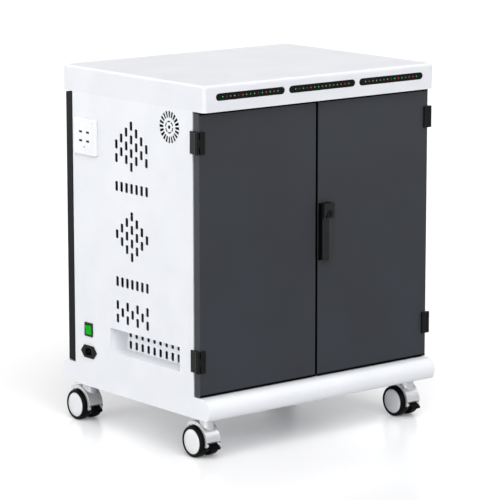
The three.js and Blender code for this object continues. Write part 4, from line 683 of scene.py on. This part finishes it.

# %% [markdown]
# ## Grille slots and handle dimple
# The inner slots of the fan's grille show black: each holds a near-black plug of painted shade, for the dark
# cabinet behind. One disc behind the sheet would leave their walls pale, so each slot has a plug with a thin
# lip: a turned core in the middle and arcs round it. The dimple is a shallow turned ring on the lever, left
# of the key barrel, in the same near-black: painted shade of a notch.

# %% Grille slot shade
GRILLE_RING = 13.0
GRILLE_ARCS = 6
ARC_DEGREES = 46
ARC_STEPS = 8
ARC_END_GAP = 1
ARC_SECTION = [(-1.5, -0.25), (1.5, -0.25), (1.5, -0.02), (0.9, -0.02), (0.9, 1.1), (-0.9, 1.1), (-0.9, -0.02),
               (-1.5, -0.02)]
CORE_PROFILE = [(0, 0.25), (4.3, 0.25), (4.3, 0.02), (3.5, 0.02), (3.5, -1.1), (0, -1.1)]
CORE_SIDES = 24


def joined(name, pieces):
    """Several meshes as one piece."""
    shape = bmesh.new()
    for piece in pieces:
        shape.from_mesh(piece.data)
        bpy.data.objects.remove(piece)
    mesh = bpy.data.meshes.new(name)
    shape.to_mesh(mesh)
    shape.free()
    obj = bpy.data.objects.new(name, mesh)
    scene_pieces.link(obj)
    return obj


panel_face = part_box("left_side_panel")[0].x
grille_centre = Vector((panel_face, fan_middle.y, fan_middle.z))
plugs = [turned("filter_core", CORE_PROFILE, grille_centre, (-1, 0, 0), False, CORE_SIDES)]
for i in range(GRILLE_ARCS):
    start = i * 360 / GRILLE_ARCS
    angles = [math.radians(start + ARC_END_GAP + k * (ARC_DEGREES - 2 * ARC_END_GAP) / ARC_STEPS)
              for k in range(ARC_STEPS + 1)]
    radial = [Vector((0, math.cos(angle), math.sin(angle))) for angle in angles]
    arc = [grille_centre + out * (GRILLE_RING * MM) for out in radial]
    plugs.append(swept("filter_arc", arc, radial, Vector((1, 0, 0)), ARC_SECTION, False))
# Near-black plugs: painted shade in the grille's slots
fit(joined("grille_filter", plugs), "cabinet", painted_shade_black, "black_plastic")
print("grille filter:", len(plugs), "plugs")

# %% Handle dimple
DIMPLE_PROFILE = [(0, 0.1), (1.6, 0.15), (2.4, 0.3), (2.8, 0.1), (2.8, -0.4), (0, -0.4)]
DIMPLE_SIDES = 24
DIMPLE_FROM_EDGE = 5.2
DIMPLE_RISE = 2
lever_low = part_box("handle_lever")[0]
plug_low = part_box("lock_plug")[0]
dimple_at = (lever_low.x + DIMPLE_FROM_EDGE * MM, lever_low.y, plug_low.z + DIMPLE_RISE * MM)
dimple_shade = turned("handle_dimple", DIMPLE_PROFILE, dimple_at, (0, -1, 0), False, DIMPLE_SIDES)
# The dimple's near-black is painted shade
fit(dimple_shade, "handle", painted_shade_black, "black_plastic")
print("handle dimple", DIMPLE_FROM_EDGE, "mm from the lever's edge")

# %% [markdown]
# ## Painted shade in the door gaps
# The gaps between the doors, under the lid and over the base are black in the photograph. Near-black strips
# on the doors' edges are painted shade: they stand for the dark in those gaps. A strip could be a swept
# section, but so little of it is seen that a rounded block is enough. The handle's plate stands a little in
# from the door's edge, and a block of the same near-black fills the space beside it, as painted shade of the
# plate's side.

# %% Closing gap shade
GAP_SHADE_REACH = 1.6
GAP_SHADE_OVERLAP = 0.2
GAP_SHADE_BEHIND_FACE = 0.6
GAP_SHADE_BEFORE_BACK = 2.2
GAP_SHADE_END_GAP = 2
door_low, door_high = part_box("right_door")
# A near-black strip on the right door's closing edge: painted shade in the gap between the doors
gap_shade = block("door_seal",
             (door_low.x - GAP_SHADE_REACH * MM, door_low.y + GAP_SHADE_BEHIND_FACE * MM, door_low.z + GAP_SHADE_END_GAP * MM),
             (door_low.x + GAP_SHADE_OVERLAP * MM, door_high.y - GAP_SHADE_BEFORE_BACK * MM,
              door_high.z - GAP_SHADE_END_GAP * MM), 0.4)
fit(gap_shade, "right_leaf", painted_shade_black, "black_plastic")
print("closing seal", round((door_high.z - door_low.z) / MM - 2 * GAP_SHADE_END_GAP), "mm long")

# %% Head and foot gap shade
STRIP_LIP = 3.6
STRIP_OVERHANG = 0.6
STRIP_PROUD = 0.3
STRIP_DEPTH = 8
STRIP_END_GAP = 1
for side in ("left", "right"):
    low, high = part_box(f"{side}_door")
    edges = {"head": (high.z - STRIP_LIP * MM, high.z + STRIP_OVERHANG * MM),
             "foot": (low.z - STRIP_OVERHANG * MM, low.z + STRIP_LIP * MM)}
    for place, (bottom, top) in edges.items():
        # Near-black strips at the doors' top and bottom: painted shade in the gaps under the lid and over the
        # base
        strip = block(f"{side}_door_{place}_seal",
                      (low.x + STRIP_END_GAP * MM, low.y - STRIP_PROUD * MM, bottom),
                      (high.x - STRIP_END_GAP * MM, low.y + STRIP_DEPTH * MM, top), 0.3)
        fit(strip, f"{side}_leaf", painted_shade_black, "black_plastic")
print("head and foot seals", STRIP_LIP + STRIP_OVERHANG, "mm high")

# %% Handle side shade
SIDE_SHADE_FROM_EDGE = 0.5
SIDE_SHADE_FROM_PLATE = 0.2
SIDE_SHADE_BEHIND_FACE = 0.4
SIDE_SHADE_OFF_DOOR = 0.1
housing_low, housing_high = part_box("handle_housing")
# A near-black block beside the handle's plate: painted shade of the plate's side
side_shade = block("handle_buffer",
               (door_low.x + SIDE_SHADE_FROM_EDGE * MM, housing_low.y + SIDE_SHADE_BEHIND_FACE * MM, housing_low.z),
               (housing_low.x - SIDE_SHADE_FROM_PLATE * MM, door_low.y - SIDE_SHADE_OFF_DOOR * MM, housing_high.z), 0.8)
fit(side_shade, "right_leaf", painted_shade_black, "black_plastic")
print("handle buffer in a space", round((housing_low.x - door_low.x) / MM, 1), "mm wide")

# %% [markdown]
# ## Filled joints
# The side panels meet the lid and the base in butt joints. They are filled before the coat is sprayed, so
# no line shows on the real cart. The pieces could be merged into one, but a thin strip in each joint does
# the same and leaves them whole. It stands proud by the coat's thickness, so no two faces lie in one plane.

# %% Joint fillers
FILLER_DEPTH = 0.8
COAT_THICKNESS = 0.04
lid_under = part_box("top_cover")[0].z
base_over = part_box("base_tray")[1].z
for side, sign in (("left", -1), ("right", 1)):
    low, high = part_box(f"{side}_side_panel")
    face = (low.x if sign < 0 else high.x) + sign * COAT_THICKNESS * MM
    inner = face - sign * FILLER_DEPTH * MM
    for joint, bottom, top in (("lid", high.z, lid_under + LID_ROUNDING * MM),
                               ("base", base_over - BASE_ROUNDING * MM, low.z)):
        filler = block(f"{side}_{joint}_joint", (min(face, inner), low.y, bottom),
                       (max(face, inner), high.y, top), 0)
        fit(filler, "cabinet", white_coat, "white_powder_coat")
print("joint fillers", FILLER_DEPTH, "mm deep")

# %% [markdown]
# ## Sockets and inlet
# The wall socket's slots show black because dark shutters stand just behind its face. Each outlet of the
# power strips is an insert with five sunk slots, and the inlet's blades are plated. Dark paint on the slots
# would do from afar, but real depth holds up close. One of each kind is made and set out by the row tree.

# %% Wall socket shutters
SLOT_PITCH = 28 * MM
SLOT_RISES = (12, -9)
EARTH_DROP = 23


def mm(*lengths):
    """Lengths in millimetres, such as a corner's three, as metres."""
    return tuple(length * MM for length in lengths)


socket_low, socket_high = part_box("socket_plate")
socket_middle = (socket_low + socket_high) / 2
shutter = block("shutter", mm(0.4, -5.9, -2.4), mm(6.2, 5.9, 2.4), 0.2)
earth = block("earth_shutter", mm(0.4, -1.6, -1.6), mm(6.2, 1.6, 1.6), 0.2)
slot_places = [(socket_low.x, socket_middle.y - SLOT_PITCH / 2, socket_middle.z + rise * MM)
               for rise in SLOT_RISES]
earth_places = [(socket_low.x, socket_middle.y, socket_middle.z - EARTH_DROP * MM)]
fit(repeated("socket_shutters", shutter, slot_places, black_phenolic, 2, (0, SLOT_PITCH, 0)), "cabinet",
    black_phenolic, "black_plastic")
fit(repeated("socket_earth_shutter", earth, earth_places, black_phenolic), "cabinet", black_phenolic,
    "black_plastic")
bpy.data.objects.remove(shutter)
bpy.data.objects.remove(earth)
print("shutters:", 2 * len(slot_places) + len(earth_places))

# %% Inlet blades
BLADE_PITCH = 7
BLADE_RISE = 2
inlet_low, inlet_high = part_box("power_inlet")
inlet_middle = (inlet_low + inlet_high) / 2
blade = block("blade", mm(8, -1.1, -2.6), mm(16.9, 1.1, 2.6), 0.3)
blade_places = [(inlet_low.x, inlet_middle.y + i * BLADE_PITCH * MM,
                 inlet_middle.z + (BLADE_RISE if i == 0 else -BLADE_RISE) * MM) for i in (-1, 0, 1)]
fit(repeated("inlet_blades", blade, blade_places, nickel_plate), "cabinet", nickel_plate, "zinc_steel")
bpy.data.objects.remove(blade)
print("inlet blades:", len(blade_places))

# %% Power strip outlets
OUTLETS = 12
OUTLET_HALF = 15.7
SLOT_CENTRES = ((-6, 7), (6, 7), (-6, -2), (6, -2))
SLOT_HALF_WIDTH, SLOT_HALF_HEIGHT = 3.2, 1.2
CUT_FRONT, CUT_BACK = -3.6, 0.4
outlet_cuts = [(mm(x - SLOT_HALF_WIDTH, CUT_FRONT, z - SLOT_HALF_HEIGHT),
                mm(x + SLOT_HALF_WIDTH, CUT_BACK, z + SLOT_HALF_HEIGHT)) for x, z in SLOT_CENTRES]
# The fifth slot, for the earth pin, stands upright below the others
outlet_cuts.append((mm(-1.3, CUT_FRONT, -12.5), mm(1.3, CUT_BACK, -6.5)))
outlet = block("outlet", mm(-OUTLET_HALF, -3, -OUTLET_HALF), mm(OUTLET_HALF, -0.6, OUTLET_HALF), 0.4, outlet_cuts)
outlet_places = []
for level in ("lower", "upper"):
    strip_low, strip_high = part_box(f"{level}_power_strip")
    outlet_pitch = (strip_high.x - strip_low.x) / OUTLETS
    outlet_places.append((strip_low.x + outlet_pitch / 2, strip_high.y, (strip_low.z + strip_high.z) / 2))
fit(repeated("strip_outlets", outlet, outlet_places, white_moulding, OUTLETS, (outlet_pitch, 0, 0)), "cabinet",
    white_moulding, "white_moulding")
bpy.data.objects.remove(outlet)
print("outlets:", len(outlet_places) * OUTLETS)

# %% [markdown]
# ## Trims inside
# Bare sheet edges would scratch a laptop, so a rubber trim is pushed onto each divider, and a grommet
# lines each cable slot. A bevelled curve could draw them, but both have a section of their own, so one
# section is carried along a path and repeated at the bays' pitch.

# %% Divider trims
BAYS = 12
DIVIDER_SIDE = 190
NOSE = 60
BEND_STEP = 15
TRIM_FROM_FRONT = 25
TRIM_FROM_REAR = 12
TRIM_FOOT = 4
TRIM_SECTION = [(-4, -1.6), (0.6, -1.6), (1.6, -0.9), (1.6, 0.9), (0.6, 1.6), (-4, 1.6)]
shelf_low, shelf_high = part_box("lower_shelf")
bay_pitch = (shelf_high.x - shelf_low.x) / BAYS
front, rear = shelf_low.y / MM + TRIM_FROM_FRONT, shelf_high.y / MM - TRIM_FROM_REAR
# Each point of the path has its place in Y and Z, then its outward direction in Y and Z
trim_path = [(front, TRIM_FOOT, -1, 0), (front, DIVIDER_SIDE - NOSE, -1, 0)]
for degrees in range(BEND_STEP, 90, BEND_STEP):
    out, up = -math.cos(math.radians(degrees)), math.sin(math.radians(degrees))
    trim_path.append((front + NOSE + NOSE * out, DIVIDER_SIDE - NOSE + NOSE * up, out, up))
trim_path += [(front + NOSE, DIVIDER_SIDE, 0, 1), (rear, DIVIDER_SIDE, 0, 1)]
trim = swept("trim", [Vector((0, y * MM, z * MM)) for y, z, _, _ in trim_path],
             [Vector((0, out, up)) for _, _, out, up in trim_path], Vector((1, 0, 0)), TRIM_SECTION, False)
trim_places = [(shelf_low.x + bay_pitch, 0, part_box(f"{level}_shelf")[1].z - DIVIDER_SIDE * MM)
               for level in ("lower", "upper")]
fit(repeated("divider_trims", trim, trim_places, trim_rubber, BAYS - 1, (bay_pitch, 0, 0)), "cabinet",
    trim_rubber, "black_plastic")
bpy.data.objects.remove(trim)
print("divider trims:", len(trim_places) * (BAYS - 1))

# %% Cable grommets
CABLE_SLOTS = 6
CABLE_SLOT_LENGTH = 80
CABLE_SLOT_HEIGHT = 22
CABLE_SLOT_RISE = 38.8
GROMMET_SECTION = [(-1.6, -0.6), (-1, -1.2), (2, -1.2), (2.4, -0.8), (2.4, 2), (2, 2.4), (-1, 2.4), (-1.6, 1.8)]
wall_low, wall_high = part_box("partition_wall")
rim, rim_out = [], []
for end in (1, -1):
    end_centre = Vector((end * (CABLE_SLOT_LENGTH - CABLE_SLOT_HEIGHT) / 2 * MM, 0, 0))
    for degrees in range(-90, 91, BEND_STEP):
        out = end * Vector((math.cos(math.radians(degrees)), 0, math.sin(math.radians(degrees))))
        rim.append(end_centre + out * (CABLE_SLOT_HEIGHT / 2 * MM))
        rim_out.append(out)
grommet = swept("grommet", rim, rim_out, Vector((0, 1, 0)), GROMMET_SECTION, True)
slot_pitch = (wall_high.x - wall_low.x) / CABLE_SLOTS
grommet_places = [(wall_low.x + slot_pitch / 2, wall_low.y, place[2] + CABLE_SLOT_RISE * MM)
                  for place in trim_places]
fit(repeated("cable_grommets", grommet, grommet_places, trim_rubber, CABLE_SLOTS, (slot_pitch, 0, 0)),
    "cabinet", trim_rubber, "black_plastic")
bpy.data.objects.remove(grommet)
print("cable grommets:", len(grommet_places) * CABLE_SLOTS)

# %% [markdown]
# ## Floor and light
# The photograph is a studio shot on a white sweep: light comes from everywhere, a little more from the
# upper left. A large floor plane takes the shadow. The floor and the world show white to the camera, in
# reflections and through glass, and light the cart at a plain level. A picture of a studio could light it
# too, but a few lamps are easier to steer.

# %% Floor
FLOOR_REACH = 60.0
FLOOR_LIFT = 0.09
FLOOR_SHOWN = "FAFAFB"
FLOOR_BOUNCE = "D6D6D8"


def background_rays(tree):
    """1 for the rays that show the background: to the camera, in a reflection or through glass. Else 0."""
    path = add_node(tree, "ShaderNodeLightPath").outputs
    shown = path["Is Camera Ray"]
    for kind in ("Is Glossy Ray", "Is Transmission Ray"):
        shown = add_node(tree, "ShaderNodeMath", {"operation": "MAXIMUM"}, {0: shown, 1: path[kind]}).outputs[0]
    return shown


floor_mesh = bpy.data.meshes.new("studio_floor")
corners = [(-FLOOR_REACH, -FLOOR_REACH, 0), (FLOOR_REACH, -FLOOR_REACH, 0), (FLOOR_REACH, FLOOR_REACH, 0),
           (-FLOOR_REACH, FLOOR_REACH, 0)]
floor_mesh.from_pydata(corners, [], [(0, 1, 2, 3)])
floor = bpy.data.objects.new("studio_floor", floor_mesh)
scene_pieces.link(floor)
# Smooth white paper: a soft reflection of the casters
floor_paper, floor_output = new_material("white_floor_paper")
floor_tree = floor_paper.node_tree
seen = background_rays(floor_tree)
lift = add_node(floor_tree, "ShaderNodeMath", {"operation": "MULTIPLY"}, {0: seen, 1: FLOOR_LIFT}).outputs[0]
# A colour mix has its two colours on inputs 6 and 7, and its result on output 2
tone = add_node(floor_tree, "ShaderNodeMix", {"data_type": "RGBA"},
                {"Factor": seen, 6: linear(FLOOR_BOUNCE), 7: linear(FLOOR_SHOWN)}).outputs[2]
paper = add_node(floor_tree, "ShaderNodeBsdfPrincipled", None,
                 {"Base Color": tone, "Roughness": 0.22, "Specular IOR Level": 0.4,
                  "Emission Color": linear("FFFFFF"), "Emission Strength": lift})
floor_tree.links.new(paper.outputs["BSDF"], floor_output.inputs["Surface"])
floor_mesh.materials.append(floor_paper)
print("floor", 2 * FLOOR_REACH, "m square")

# %% World
WORLD_LIGHT = 0.42
world = bpy.data.worlds.new("studio_world")
bpy.context.scene.world = world
world.use_nodes = True
sky = world.node_tree
sky.nodes.clear()
strength = add_node(sky, "ShaderNodeMapRange", None,
                    {"Value": background_rays(sky), "To Min": WORLD_LIGHT, "To Max": 1.0})
glow = add_node(sky, "ShaderNodeBackground", None,
                {"Color": linear("FFFFFF"), "Strength": strength.outputs["Result"]})
add_node(sky, "ShaderNodeOutputWorld", None, {"Surface": glow.outputs["Background"]})
print("world light", WORLD_LIGHT)

# %% [markdown]
# ## Studio lamps
# Three broad suns give the tones of the faces: the lid is lit by the key, the left side by the left fill.
# The softboxes are seen only in reflections. The one behind the left side draws the pale strip along the
# left door's edge, and the front one the thin line down that edge's corner. The door one gives the dark
# doors their sheen, and the two above draw the bright lines along rounded edges.

# %% Suns


def studio_lamp(name, kind, energy, stands, aims, **settings):
    """A lamp that shines from where it stands to the point it aims at."""
    data = bpy.data.lights.new(name, kind)
    data.energy = energy
    for setting, value in settings.items():
        setattr(data, setting, value)
    obj = bpy.data.objects.new(name, data)
    turn = (Vector(stands) - Vector(aims)).to_track_quat("Z", "Y")
    obj.matrix_world = Matrix.Translation(stands) @ turn.to_matrix().to_4x4()
    scene_pieces.link(obj)
    return obj


CART_MIDDLE = (0, 0, 0.45)
studio_lamp("key_light", "SUN", 2.5, (-2.9, -6.5, 7.5), CART_MIDDLE, angle=math.radians(60))
studio_lamp("left_fill", "SUN", 1.05, (-9.0, -0.5, 3.6), CART_MIDDLE, angle=math.radians(40))
studio_lamp("right_fill", "SUN", 0.3, (9.0, 0.0, 3.5), CART_MIDDLE, angle=math.radians(40))
print("suns:", len(bpy.data.lights))

# %% Softboxes
LID_MIDDLE = (0, 0, 0.8)
softboxes = [
    studio_lamp("edge_softbox", "AREA", 27.0, (-1.9, 2.4, 0.7), CART_MIDDLE,
                shape="RECTANGLE", size=2.4, size_y=1.4),
    studio_lamp("front_softbox", "AREA", 6.0, (-1.0, -0.8, 0.42), (0, 0, 0.42),
                shape="RECTANGLE", size=0.5, size_y=0.8),
    studio_lamp("door_softbox", "AREA", 6.0, (1.0, -1.3, 1.15), (0.1, -0.25, 0.8),
                shape="RECTANGLE", size=1.0, size_y=0.5),
    studio_lamp("rear_top_softbox", "AREA", 42.0, (-0.7, 2.2, 2.6), LID_MIDDLE, shape="SQUARE", size=1.5),
    studio_lamp("right_top_softbox", "AREA", 42.0, (1.7, -0.5, 3.0), LID_MIDDLE, shape="SQUARE", size=1.5),
]
for softbox in softboxes:
    softbox.visible_camera = False
    softbox.visible_diffuse = False
print("softboxes:", len(softboxes))
